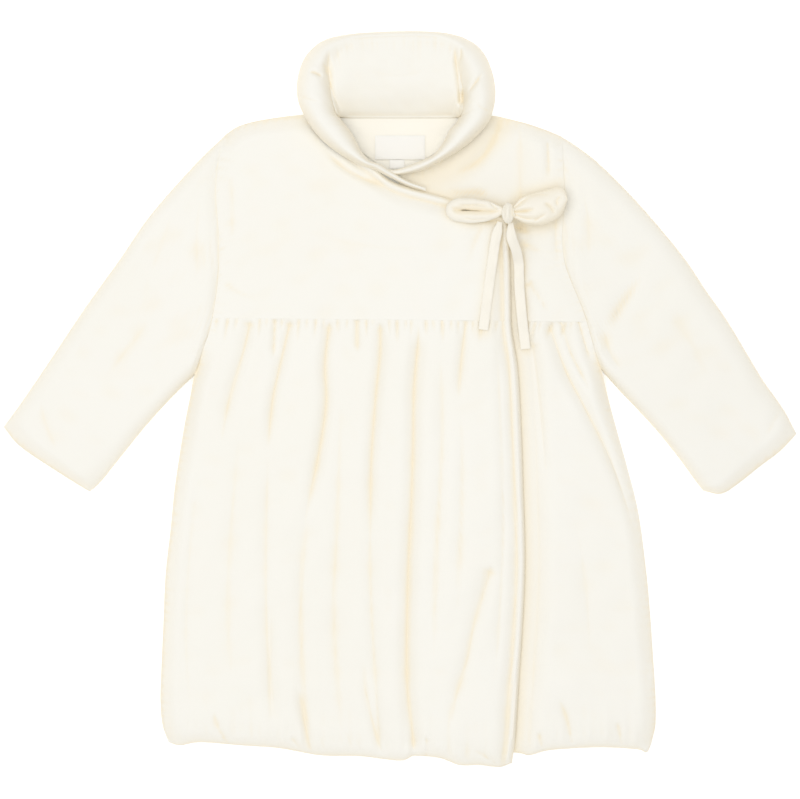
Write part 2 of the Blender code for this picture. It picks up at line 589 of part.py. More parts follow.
def clipped(points, low, high):
    """The stretch of a downward line between two heights, turned to run up."""
    line = Line(points)
    inside = [tuple(point) for point in line.points if low < point[1] < high]
    ends = ((line.x_at(high), high), (line.x_at(low), low))
    return Line([ends[0], *inside[::4], ends[1]][::-1])


def make_skirt(name, lines, ends, hem, cells, rows, fill, floor):
    """A skirt panel whose lattice follows its fold lines.

    ends are the panel's two edges, cells the number of columns between two lines, and fill and
    floor give its thickness and its underside.
    """
    stations = [ends[0], *[Line(points) for points in lines], ends[1]]
    steps = np.linspace(0.0, 1.0, cells, endpoint=False)
    close = [float(step - COLUMN_PULL * math.sin(2.0 * math.pi * step)) for step in steps]
    stops = [index + step for index in range(len(stations) - 1) for step in close]
    stops.append(len(stations) - 1.0)
    column = spread(stops)
    row = spread(rows)
    last = len(stations) - 2

    def x_at(place, y):
        index = min(int(place), last)
        share = place - index
        return (1.0 - share) * stations[index].x_at(y) + share * stations[index + 1].x_at(y)

    def place_at(u, v):
        place = column(u)
        foot = hem.y_at(x_at(place, hem.points[:, 1].mean()))
        top = waist(x_at(place, WAIST_Y)) - SEAM_GAP
        y = top + (foot - top) * row(v)
        rank = round(u * (len(stops) - 1))
        gather = (rank % 2) * (1.0 + GATHER_CHANGE * math.sin(GATHER_TURN * rank))
        return x_at(place, y), y, gather

    def outer(u, v):
        x, y, gather = place_at(u, v)
        return x, y, floor(x, y) + fill(x, y, gather)

    def inner(u, v):
        x, y, _ = place_at(u, v)
        return x, y, floor(x, y)

    return wall(name, len(stops) - 1, len(rows) - 1, outer, inner, SHELL)


def make_bodice(name, place, columns, rows, fill, floor):
    """A bodice panel over a patch."""
    column = spread(columns)
    row = spread(rows)

    def outer(u, v):
        x, y = place(column(u), row(v))
        return x, y, floor(x, y) + fill(x, y)

    def inner(u, v):
        x, y = place(column(u), row(v))
        return x, y, floor(x, y)

    return wall(name, len(columns) - 1, len(rows) - 1, outer, inner, SHELL)


def make_back():
    """The back bodice and the back skirt, flat underneath but for their rounded edges."""
    shoulders = Line(RIGHT_SHOULDER + BACK_NECKLINE[1:] + LEFT_SHOULDER[1:])
    foot = Line((seam_end(RIGHT_OUTLINE), seam_end(LEFT_OUTLINE)))
    right = clipped(RIGHT_ARMHOLE, foot.at(0.0)[1], RIGHT_ARMHOLE[0][1])
    left = clipped(LEFT_ARMHOLE, foot.at(1.0)[1], LEFT_ARMHOLE[0][1])
    place = patch(foot, shoulders, right, left)

    def bodice_lift(x, y):
        edge = min(x - RIGHT_OUTLINE.x_at(y), LEFT_OUTLINE.x_at(y) - x, shoulders.away(x, y))
        return back_lift(edge)

    def bodice_fill(x, y):
        return BACK_LEVEL - bodice_lift(x, y)

    def skirt_lift(x, y):
        edge = min(x - RIGHT_OUTLINE.x_at(y), LEFT_OUTLINE.x_at(y) - x, y - BACK_HEM_LINE.y_at(x))
        return back_lift(edge)

    def skirt_fill(x, y, _):
        return BACK_LEVEL - skirt_lift(x, y)

    make_bodice("back_bodice", place, end_stops(BACK_BODICE_COLUMNS), end_stops(BACK_BODICE_ROWS),
                bodice_fill, bodice_lift)
    make_skirt("back_skirt", BACK_SKIRT_LINES, (RIGHT_OUTLINE, LEFT_OUTLINE), BACK_HEM_LINE,
               BACK_SKIRT_CELLS, BACK_SKIRT_ROWS, skirt_fill, skirt_lift)


def make_wrap_front():
    """The wrap front: its bodice and its gathered skirt, with the rolled edge on both."""
    foot = Line((seam_end(RIGHT_OUTLINE), seam_end(WRAP_LINE)))
    head = Line(RIGHT_SHOULDER + WRAP_NECKLINE[1:])
    right = clipped(RIGHT_ARMHOLE, foot.at(0.0)[1], RIGHT_ARMHOLE[0][1])
    left = clipped(WRAP_EDGE, foot.at(1.0)[1], WRAP_EDGE[0][1])
    make_bodice("wrap_front_bodice", patch(foot, head, right, left), WRAP_BODICE_COLUMNS,
                WRAP_BODICE_ROWS, wrap_bodice_fill, wrap_floor)
    make_skirt("wrap_front_skirt", WRAP_SKIRT_LINES, (RIGHT_OUTLINE, WRAP_LINE), WRAP_HEM_LINE,
               WRAP_SKIRT_CELLS, WRAP_SKIRT_ROWS, wrap_skirt_fill, wrap_floor)


def make_under_front():
    """The under front, which the wrap front hides for a hand's width."""
    foot = Line((seam_end(HIDDEN_LINE), seam_end(LEFT_OUTLINE)))
    head = Line(UNDER_NECKLINE + LEFT_SHOULDER[1:])
    right = clipped(HIDDEN_EDGE, foot.at(0.0)[1], HIDDEN_EDGE[0][1])
    left = clipped(LEFT_ARMHOLE, foot.at(1.0)[1], LEFT_ARMHOLE[0][1])

    def level(_x, _y):
        return FRONT_LEVEL

    make_bodice("under_front_bodice", patch(foot, head, right, left), end_stops(UNDER_BODICE_COLUMNS),
                end_stops(UNDER_BODICE_ROWS), under_bodice_fill, level)
    make_skirt("under_front_skirt", UNDER_SKIRT_LINES, (HIDDEN_LINE, LEFT_OUTLINE), UNDER_HEM_LINE,
               UNDER_SKIRT_CELLS, UNDER_SKIRT_ROWS, under_skirt_fill, level)


def make_sleeve(name, outer_line, inner_line, armhole, cuff, folds, outward):
    """A sleeve as a flattened tube with a slit through it, open at the cuff.

    outward is the side that the sleeve points to: -1 for the right sleeve and 1 for the left.
    """
    shifted = Line([(x + outward * ARMHOLE_GAP, y) for x, y in armhole])
    place = patch(Line(outer_line), Line(inner_line), shifted, Line(cuff))
    length = 0.5 * sum(np.linalg.norm(np.diff(Line(line).points, axis=0), axis=1).sum()
                       for line in (outer_line, inner_line))
    stops = SLEEVE_AROUND + tuple(1.0 + value for value in SLEEVE_AROUND[1:])
    around = spread(stops)
    row = spread(SLEEVE_ROWS)
    girth = Line(armhole).points[[0, -1]]
    widest = np.linalg.norm(girth[0] - girth[1])
    narrowest = np.linalg.norm(np.array(cuff[0]) - np.array(cuff[-1]))

    def read(u, v):
        turn = around(u)
        across = turn if turn <= 1.0 else 2.0 - turn
        along = row(v)
        point = place(along, across)
        width = widest + (narrowest - widest) * along
        edge = min(across, 1.0 - across) * width
        end = min(along, 1.0 - along) * length
        return turn <= 1.0, point, edge, end, across, along

    def outer(u, v):
        upper, (x, y), edge, end, _, _ = read(u, v)
        if upper:
            share = SLEEVE_END_SHARE_TOP + (1.0 - SLEEVE_END_SHARE_TOP) * ease(end / SLEEVE_END_RUN)
            rise = SLEEVE_RISE * share - folds_at(x, y, folds)
            return x, y, SLEEVE_MID + rise * round_off(edge / SLEEVE_ROUND)
        share = SLEEVE_END_SHARE_UNDER + (1.0 - SLEEVE_END_SHARE_UNDER) * round_off(end / SLEEVE_END_RUN)
        return x, y, SLEEVE_MID - SLEEVE_MID * share * round_off(edge / SLEEVE_UNDER_ROUND)

    def inner(u, v):
        upper, _, edge, _, across, along = read(u, v)
        width = widest + (narrowest - widest) * along
        inset = SLEEVE_WALL / width
        x, y = place(along, inset + across * (1.0 - 2.0 * inset))
        slit = SLEEVE_SLIT * round_off(edge / SLEEVE_WALL)
        return x, y, SLEEVE_MID + (slit if upper else -slit)

    wall(name, len(stops) - 1, len(SLEEVE_ROWS) - 1, outer, inner, SHELL, ring=True)


def make_collar():
    """The collar's standing back and its two side rolls."""
    neck = Line(COLLAR_BACK_NECK)
    top = Line(COLLAR_BACK_TOP)
    right = Line(COLLAR_BACK_RIGHT[::-1])
    left = Line(COLLAR_BACK_LEFT[::-1])
    place = patch(neck, top, right, left)
    columns = end_stops(COLLAR_COLUMNS)
    column = spread(columns)
    row = spread(COLLAR_ROWS)

    def back_outer(u, v):
        x, y = place(column(u), row(v))
        fall = top.away(x, y)
        side = min(right.away(x, y), left.away(x, y))
        inner_face = COLLAR_NECK_HEIGHT + (COLLAR_INNER_HEIGHT - COLLAR_NECK_HEIGHT) * ease(
            neck.away(x, y) / COLLAR_RIM_RUN)
        rim = COLLAR_RIM_HEIGHT - inner_face
        level = inner_face + rim * glide(1.0 - (fall - COLLAR_RIM_AT) / COLLAR_RIM_RUN)
        level = COLLAR_EDGE_MID + (level - COLLAR_EDGE_MID) * round_off(fall / COLLAR_RIM_AT)
        pinch = COLLAR_PINCH * (1.0 - ease(side / COLLAR_ROUND)) * ease(fall / COLLAR_RIM_AT)
        return x, y, level - pinch

    def back_inner(u, v):
        x, y = place(column(u), row(v))
        lift = (COLLAR_EDGE_MID - ROLL_EDGE_WALL) * (1.0 - round_off(top.away(x, y) / COLLAR_ROUND))
        return x, y, lift

    wall("collar_back", len(columns) - 1, len(COLLAR_ROWS) - 1, back_outer, back_inner, SHELL)
    make_roll("collar_right_side", RIGHT_ROLL_OUTER, RIGHT_ROLL_INNER, RIGHT_ROLL_LEVELS)
    make_roll("collar_left_side", LEFT_ROLL_OUTER, LEFT_ROLL_INNER, LEFT_ROLL_LEVELS)


def make_roll(name, outer_edge, inner_edge, levels):
    """A side roll of the collar, between its two edges and two levels."""
    outside = Line(outer_edge)
    inside = Line(inner_edge)
    shares = [level.share for level in levels]
    columns = end_stops(ROLL_COLUMNS)
    column = spread(columns)
    rows = end_stops(ROLL_ROWS)
    row = spread(rows)

    def section(u, v):
        across, along = column(u), row(v)
        x, y = (1.0 - across) * outside.at(along) + across * inside.at(along)
        low = np.interp(along, shares, [level.low for level in levels])
        high = np.interp(along, shares, [level.high for level in levels])
        end = round_off(min(along, 1.0 - along) / ROLL_END_RUN)
        bulge = round_off(2.0 * min(across, 1.0 - across)) * (ROLL_END_BULGE + (1.0 - ROLL_END_BULGE) * end)
        return x, y, low, high, bulge

    def upper(u, v):
        x, y, low, high, bulge = section(u, v)
        middle = 0.5 * (low + high)
        return x, y, middle + 0.5 * ROLL_EDGE_WALL + (high - middle - 0.5 * ROLL_EDGE_WALL) * bulge

    def lower(u, v):
        x, y, low, high, bulge = section(u, v)
        middle = 0.5 * (low + high)
        flat = min(1.0, ROLL_UNDER_RATE * bulge)
        return x, y, middle - 0.5 * ROLL_EDGE_WALL - (middle - 0.5 * ROLL_EDGE_WALL - low) * flat

    wall(name, len(columns) - 1, len(rows) - 1, upper, lower, SHELL)


def make_short_loop():
    """The small loop: a padded band bent into a flat ring with a slit in it."""
    mesh = bmesh.new()
    bmesh.ops.create_grid(mesh, x_segments=SHORT_LOOP_CELLS[0], y_segments=SHORT_LOOP_CELLS[1], size=0.5)
    turn_cos, turn_sin = math.cos(SHORT_LOOP_TURN), math.sin(SHORT_LOOP_TURN)
    for vert in mesh.verts:
        around = 2.0 * math.pi * (vert.co.x + 0.5)
        section = 2.0 * math.pi * (vert.co.y + 0.5)
        out = SHORT_LOOP_BAND[0] * math.cos(section)
        x = (SHORT_LOOP_SPAN[0] + out) * math.cos(around)
        y = (SHORT_LOOP_SPAN[1] + out) * math.sin(around)
        vert.co = (SHORT_LOOP_CENTRE[0] + x * turn_cos - y * turn_sin,
                   SHORT_LOOP_CENTRE[1] + x * turn_sin + y * turn_cos,
                   SHORT_LOOP_CENTRE[2] + SHORT_LOOP_BAND[1] * math.sin(section))
    bmesh.ops.remove_doubles(mesh, verts=mesh.verts[:], dist=MERGE_GAP)
    add_object("bow_short_loop", mesh, SHELL)


def make_full_loop():
    """The full loop: a puffed teardrop with folds that fan out from the knot."""
    top = Line(FULL_LOOP_TOP)
    foot = Line(FULL_LOOP_FOOT)
    columns = end_stops(FULL_LOOP_COLUMNS)
    column = spread(columns)
    row = spread(FULL_LOOP_ROWS)

    def swell_at(along):
        if along > FULL_LOOP_TIP_FROM:
            return FULL_LOOP_TIP_SWELL
        share = min(1.0, FULL_LOOP_ROOT_SWELL + (1.0 - FULL_LOOP_ROOT_SWELL) * along)
        return math.sin(math.pi * share ** FULL_LOOP_EARLY) ** FULL_LOOP_ROUND

    def section(u, v):
        across, along = column(u), row(v)
        x, y = (1.0 - across) * foot.at(along) + across * top.at(along)
        low = FULL_LOOP_ROOT[0] + (FULL_LOOP_LOW - FULL_LOOP_ROOT[0]) * glide(along / FULL_LOOP_FALL)
        high = FULL_LOOP_ROOT[1] + (FULL_LOOP_HIGH - FULL_LOOP_ROOT[1]) * swell_at(along)
        rim = round_off(2.0 * min(across, 1.0 - across))
        fan = 0.5 - 0.5 * math.cos(2.0 * math.pi * FULL_LOOP_FOLDS * across)
        fade = 1.0 - glide((along - FULL_LOOP_FOLD_START) / FULL_LOOP_FOLD_RUN)
        crease = FULL_LOOP_FOLD_DEPTH * (1.0 - fan) * fade * rim
        return x, y, low, high, rim, crease

    def upper(u, v):
        x, y, low, high, rim, crease = section(u, v)
        middle = 0.5 * (low + high)
        return x, y, middle + FULL_LOOP_WALL + (high - middle - FULL_LOOP_WALL) * rim - crease

    def lower(u, v):
        x, y, low, high, rim, _ = section(u, v)
        middle = 0.5 * (low + high)
        return x, y, middle - FULL_LOOP_WALL - (middle - FULL_LOOP_WALL - low) * rim

    wall("bow_full_loop", len(columns) - 1, len(FULL_LOOP_ROWS) - 1, upper, lower, SHELL)


def make_knot():
    """The knot between the loops."""
    mesh = bmesh.new()
    bmesh.ops.create_uvsphere(mesh, u_segments=KNOT_CELLS[0], v_segments=KNOT_CELLS[1], radius=1.0)
    for vert in mesh.verts:
        x, y, z = vert.co
        waist_in = 1.0 - KNOT_CREASE * math.cos(KNOT_CREASES * math.pi * y) * (1.0 - y * y)
        vert.co = (KNOT_CENTRE[0] + KNOT_SIZE[0] * x * waist_in, KNOT_CENTRE[1] + KNOT_SIZE[1] * y,
                   KNOT_CENTRE[2] + KNOT_SIZE[2] * z * waist_in)
    add_object("bow_knot", mesh, SHELL)


def make_tail(name, stops, rows):
    """A ribbon tail that lies along a route; a stop's z is the middle of the ribbon."""
    route = Line([(stop.x, stop.y) for stop in stops])
    heights = Line([(stop.y, stop.z) for stop in stops])

    def place(u, v, side):
        point = route.at(v)
        ahead = route.at(min(1.0, v + HEADING_STEP)) - route.at(max(0.0, v - HEADING_STEP))
        ahead /= np.linalg.norm(ahead)
        x = point[0] + ahead[1] * (u - 0.5) * -RIBBON_WIDTH
        y = point[1] + ahead[0] * (u - 0.5) * RIBBON_WIDTH
        z = np.interp(-point[1], -heights.points[:, 0], heights.points[:, 1])
        return x, y, z + side * 0.5 * RIBBON_THICK

    wall(name, RIBBON_CELLS, rows, lambda u, v: place(u, v, 1.0), lambda u, v: place(u, v, -1.0), RIBBON)


def make_neck_inside():
    """The facing inside the back neck, the bare label and the bare size tab."""
    right, left = Line(FACING_RIGHT), Line(FACING_LEFT)
    foot = Line((FACING_RIGHT[0], FACING_LEFT[0]))
    head = Line((FACING_RIGHT[-1], FACING_LEFT[-1]))
    place = patch(foot, head, right, left)

    def outer(u, v):
        return (*place(u, v), FACING_LEVEL + FACING_THICK)

    def inner(u, v):
        return (*place(u, v), FACING_LEVEL)

    wall("neck_facing", FACING_CELLS, FACING_CELLS, outer, inner, FACING)
    for name, size, centre in (("neck_label", LABEL_SIZE, LABEL_CENTRE), ("size_tab", TAB_SIZE, TAB_CENTRE)):
        mesh = bmesh.new()
        bmesh.ops.create_cube(mesh, size=1.0)
        for vert in mesh.verts:
            x, y, z = vert.co
            vert.co = (centre[0] + size[0] * x, centre[1] + size[1] * y,
                       LABEL_LEVEL + size[2] * (z + 0.5))
        add_object(name, mesh, LABEL)


def make_coat():
    """Build every piece of the coat."""
    make_back()
    make_under_front()
    make_wrap_front()
    make_sleeve("right_sleeve", RIGHT_SLEEVE_OUTER, RIGHT_SLEEVE_INNER, RIGHT_ARMHOLE, RIGHT_CUFF,
                RIGHT_SLEEVE_FOLDS, -1)
    make_sleeve("left_sleeve", LEFT_SLEEVE_OUTER, LEFT_SLEEVE_INNER, LEFT_ARMHOLE, LEFT_CUFF,
                LEFT_SLEEVE_FOLDS, 1)
    make_collar()
    make_short_loop()
    make_full_loop()
    make_knot()
    make_tail("right_tail", RIGHT_TAIL, RIGHT_TAIL_ROWS)
    make_tail("left_tail", LEFT_TAIL, LEFT_TAIL_ROWS)
    make_neck_inside()


for item in list(bpy.data.objects):
    bpy.data.objects.remove(item)
coat = bpy.data.collections.new("down_coat")
bpy.context.scene.collection.children.link(coat)
make_coat()
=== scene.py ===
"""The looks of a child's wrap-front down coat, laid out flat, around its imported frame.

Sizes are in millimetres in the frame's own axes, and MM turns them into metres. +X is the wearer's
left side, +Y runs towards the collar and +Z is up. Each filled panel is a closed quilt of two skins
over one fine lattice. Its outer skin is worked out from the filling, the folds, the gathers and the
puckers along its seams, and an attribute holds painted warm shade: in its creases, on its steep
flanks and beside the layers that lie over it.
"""

import logging
import math
from dataclasses import dataclass
from enum import Enum
from typing import Sequence

import bpy
import numpy as np
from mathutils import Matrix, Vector


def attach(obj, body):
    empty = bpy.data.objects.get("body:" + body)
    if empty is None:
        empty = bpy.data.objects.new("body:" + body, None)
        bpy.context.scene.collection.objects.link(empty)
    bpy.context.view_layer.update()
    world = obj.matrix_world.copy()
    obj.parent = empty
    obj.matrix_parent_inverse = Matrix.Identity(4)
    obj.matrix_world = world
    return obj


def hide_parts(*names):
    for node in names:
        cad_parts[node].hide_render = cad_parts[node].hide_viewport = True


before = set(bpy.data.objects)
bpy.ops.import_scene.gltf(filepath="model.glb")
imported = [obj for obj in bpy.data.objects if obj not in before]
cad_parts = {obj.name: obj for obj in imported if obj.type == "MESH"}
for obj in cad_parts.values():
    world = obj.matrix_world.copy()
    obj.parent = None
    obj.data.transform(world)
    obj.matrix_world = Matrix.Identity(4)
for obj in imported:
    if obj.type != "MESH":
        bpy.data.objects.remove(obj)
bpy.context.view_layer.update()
log = logging.getLogger("coat")

MM = 0.001
Grid = np.ndarray
Point = tuple[float, ...]

# Levels of the layers as they lie, measured up from the surface.
BACK_LEVEL = 10.0
LAYER_GAP = 0.5
FRONT_LEVEL = BACK_LEVEL + LAYER_GAP
UNDER_HIDDEN_FILL = 8.0
OVERLAP_RISE = UNDER_HIDDEN_FILL + LAYER_GAP

# Thickness of the filled panels, and how far from a seam the filling takes to reach it.
FULL_FILL = 11.5
SEAM_FILL = 1.6
ARMHOLE_FILL = 10.2
UNDERARM_Y = 26.0
ARMHOLE_RISE = 34.0
PUFF_RUN = 18.0
CLEAR_START = 14.0

# The fill at the waist seam and how far from it that reaches, for the skirts and for the bodices.
SKIRT_WAIST = (12.0, 7.0)
BODICE_WAIST = (12.1, 6.0)

# Half the gap at the waist seam, and the gap at an armhole.
SEAM_GAP = 0.008
ARMHOLE_GAP = 0.03

# The waist seam crosses the coat almost level.
WAIST_Y = 79.0
WAIST_SLOPE = -0.0105

# The armholes, from the shoulder down to the underarm, and the side seams, on to the hem.
RIGHT_ARMHOLE = ((-176, 264), (-182, 232), (-184, 202), (-181, 161), (-182, 120), (-186, 90),
                 (-190, 70), (-198, 47), (-206, 24))
LEFT_ARMHOLE = ((162, 263), (163, 238), (164, 208), (163, 182), (162, 158), (165, 135), (171, 118),
                (179, 99), (186, 80), (191, 62), (196, 45), (202, 29))
RIGHT_SIDE = ((-206, 24), (-210, 4), (-216, -26), (-221, -56), (-226, -91), (-230, -131),
              (-235, -176), (-237, -221), (-239, -266), (-240, -301), (-238, -326), (-232, -344))
LEFT_SIDE = ((202, 29), (210, -4), (219, -37), (228, -69), (239, -114), (247, -174), (251, -219),
             (254, -264), (256, -299), (256, -326), (252, -345))

# The shoulders and the necklines, from the armhole to the wrap edge.
RIGHT_SHOULDER = ((-176, 264), (-160, 274), (-130, 281), (-85, 285))
LEFT_SHOULDER = ((85, 284), (120, 278), (145, 270), (162, 263))
WRAP_NECKLINE = ((-85, 285), (-74, 272), (-50, 250), (-27, 233), (-10, 219), (10, 211), (47, 201),
                 (80, 189), (106, 180))
UNDER_NECKLINE = ((-2, 222), (5, 226), (25, 233), (43, 243), (57, 256), (69, 270), (85, 284))
BACK_NECKLINE = ((-85, 285), (-68, 279.5), (-40, 279.6), (0, 279.6), (40, 279.6), (68, 279.5),
                 (85, 284))

# The free edge of the wrap front, and the edge of the under front that it hides.
WRAP_EDGE = ((106, 180), (110, 140), (111, 99), (112, 69), (118, 29), (121, -25), (123, -83),
             (125, -159), (123, -218), (118, -294), (115, -340), (112, -364))
HIDDEN_EDGE = ((-2, 222), (8, 140), (15, 79), (24, -40), (28, -160), (28, -352))

# Where the wrap front's underside, and its outer skin, rise over the hidden edge, measured from it.
HIDDEN_RAMP = (-27.0, -5.0)
HIDDEN_SPREAD = (-95.0, 35.0)

# The hems.
WRAP_HEM = ((-232, -344), (-220, -347), (-200, -344), (-160, -347), (-120, -350), (-80, -357),
            (-40, -358), (0, -362), (15, -357), (40, -359), (60, -366), (80, -366), (100, -368),
            (112, -364))
UNDER_HEM = ((28, -350), (112, -354), (129, -357), (144, -353), (160, -351), (200, -349),
             (237, -351), (247, -354), (252, -345))
BACK_HEM = ((-232, -344), (-120, -345), (0, -348), (120, -348), (252, -345))

# The lines that the lattice of each skirt follows, from the waist to the hem.
WRAP_SKIRT_LINES = (
    ((-149, 80), (-157, 46), (-172, -6), (-190, -120), (-200, -240), (-202, -345)),
    ((-109, 80), (-122, 25), (-128, -6), (-132, -60), (-134, -180), (-131, -290), (-128, -350)),
    ((-70, 80), (-75, 36), (-74, -6), (-82, -59), (-96, -130), (-103, -230), (-103, -290), (-92, -356)),
    ((-20, 80), (-20, 46), (-25, -6), (-29, -69), (-30, -154), (-36, -267), (-30, -310), (-18, -360)),
    ((18, 80), (18, 57), (14, 9), (13, -48), (11, -111), (8, -183), (7, -278), (13, -358)),
    ((66, 80), (60, 15), (66, -80), (84, -165), (72, -233), (66, -263), (52, -302), (44, -361)),
)
UNDER_SKIRT_LINES = (
    ((111, 79), (118, 29), (121, -25), (123, -83), (125, -159), (123, -218), (118, -294), (114, -355)),
    ((131, 79), (138, 20), (146, -40), (158, -120), (168, -240), (168, -351)),
    ((148, 79), (166, 28), (184, -7), (204, -50), (214, -100), (220, -180), (222, -350)),
)
BACK_SKIRT_LINES = (((-60, 80), (-80, -345)), ((60, 80), (80, -348)))


def ease(share: Grid) -> Grid:
    """Rise from 0 to 1 as a filled panel rises from its seam."""
    return np.sin(0.5 * math.pi * np.clip(share, 0.0, 1.0))


def round_off(share: Grid) -> Grid:
    """Rise from 0 to 1 as a quarter circle, upright at the start."""
    left = 1.0 - np.clip(share, 0.0, 1.0)
    return np.sqrt(1.0 - left * left)


def glide(share: Grid) -> Grid:
    """Go from 0 to 1 level at both ends."""
    part = np.clip(share, 0.0, 1.0)
    return part * part * (3.0 - 2.0 * part)


def blend(low: Grid, high: Grid, share: Grid) -> Grid:
    """Go from one value to another by a share."""
    return low + (high - low) * share


class Line:
    """A smooth line through a few points, read by its share of length, by x or by y."""

    SAMPLES = 10

    def __init__(self, points: Sequence[Point]) -> None:
        """Run a smooth curve through the points.

        Args:
            points: The line's points in order, in millimetres.
        """
        knots = np.array(points, dtype=float)
        ahead = np.vstack([2 * knots[0] - knots[1], knots, 2 * knots[-1] - knots[-2]])
        dense = []
        for index in range(len(knots) - 1):
            before, start, end, after = ahead[index:index + 4]
            for part in np.linspace(0.0, 1.0, self.SAMPLES, endpoint=False):
                slope = (end - before) * part
                bend = (2 * before - 5 * start + 4 * end - after) * part ** 2
                turn = (3 * start - before - 3 * end + after) * part ** 3
                dense.append(0.5 * (2 * start + slope + bend + turn))
        dense.append(knots[-1])
        self.points = np.array(dense)
        steps = np.linalg.norm(np.diff(self.points, axis=0), axis=1)
        self.length = float(steps.sum())
        self.shares = np.concatenate([[0.0], np.cumsum(steps)]) / self.length

    def at(self, share: Grid) -> Grid:
        """The points at shares of the line's length, with the axes last."""
        return np.stack([np.interp(share, self.shares, column) for column in self.points.T], axis=-1)

    def x_at(self, y: Grid) -> Grid:
        """The x of a line that runs down the coat."""
        return np.interp(-np.asarray(y, dtype=float), -self.points[:, 1], self.points[:, 0])

    def y_at(self, x: Grid) -> Grid:
        """The y of a line that runs across the coat."""
        return np.interp(x, self.points[:, 0], self.points[:, 1])

    def near(self, x: Grid, y: Grid) -> tuple[Grid, Grid]:
        """Find the line's nearest place to each point.

        Args:
            x: The points' x.
            y: The points' y.

        Returns:
            The distance to the line, and how far along it the nearest place lies.
        """
        place = np.stack([np.ravel(x), np.ravel(y)], axis=-1)
        best = np.full(len(place), np.inf)
        along = np.zeros(len(place))
        plan = self.points[:, :2]
        for index in range(len(plan) - 1):
            start = plan[index]
            span = plan[index + 1] - start
            square = max(float(span @ span), 1e-9)
            share = np.clip(((place - start) @ span) / square, 0.0, 1.0)
            offset = place - start - share[:, None] * span
            distance = np.sqrt((offset ** 2).sum(axis=1))
            closer = distance < best
            best[closer] = distance[closer]
            run = self.shares[index] + (self.shares[index + 1] - self.shares[index]) * share
            along[closer] = run[closer] * self.length
        return best.reshape(np.shape(x)), along.reshape(np.shape(x))

    def away(self, x: Grid, y: Grid) -> Grid:
        """The distance from each point to the line."""
        return self.near(x, y)[0]


RIGHT_OUTLINE = Line(RIGHT_ARMHOLE + RIGHT_SIDE[1:])
LEFT_OUTLINE = Line(LEFT_ARMHOLE + LEFT_SIDE[1:])
WRAP_LINE = Line(WRAP_EDGE)
WRAP_RIM = Line(WRAP_NECKLINE + WRAP_EDGE[1:])
HIDDEN_LINE = Line(HIDDEN_EDGE)
WRAP_HEM_LINE = Line(WRAP_HEM)
UNDER_HEM_LINE = Line(UNDER_HEM)
BACK_HEM_LINE = Line(BACK_HEM)
RIGHT_SHOULDER_LINE = Line(RIGHT_SHOULDER)
LEFT_SHOULDER_LINE = Line(LEFT_SHOULDER)
UNDER_NECK_LINE = Line(UNDER_NECKLINE)

# A fold's trough is a round one mixed, by a share, with a crease that is this much narrower.
CREASE_NARROW = 0.34
CREASE_SHARE = 0.4


@dataclass(frozen=True)
class Fold:
    """A soft trough along a line: its depth, its half width and how it fades at its two ends."""

    name: str
    points: tuple[Point, ...]
    depth: float
    width: float
    start: float = 0.05
    end: float = 0.35

    def depth_at(self, x: Grid, y: Grid) -> Grid:
        """How deep the trough is at each point.

        Args:
            x: The points' x.
            y: The points' y.

        Returns:
            The depth, in millimetres.
        """
        line = Line(self.points)
        distance, along = line.near(x, y)
        share = along / line.length
        fade = np.minimum(glide(share / self.start), glide((1.0 - share) / self.end))
        offset = distance / self.width
        profile = blend(np.exp(-offset * offset), np.exp(-offset / CREASE_NARROW), CREASE_SHARE)
        ends = (share > 0.0) & (share < 1.0)
        return np.where(ends, self.depth * fade * profile, 0.0)


@dataclass(frozen=True)
class Gather:
    """A small gather below the waist seam: where it starts, how long, deep and slanted it is."""

    x: float
    run: float
    depth: float
    lean: float = 0.0


def all_folds(folds: Sequence[Fold], x: Grid, y: Grid) -> Grid:
    """How deep the folds of a table are at each point."""
    return sum((fold.depth_at(x, y) for fold in folds), np.zeros(np.shape(x)))


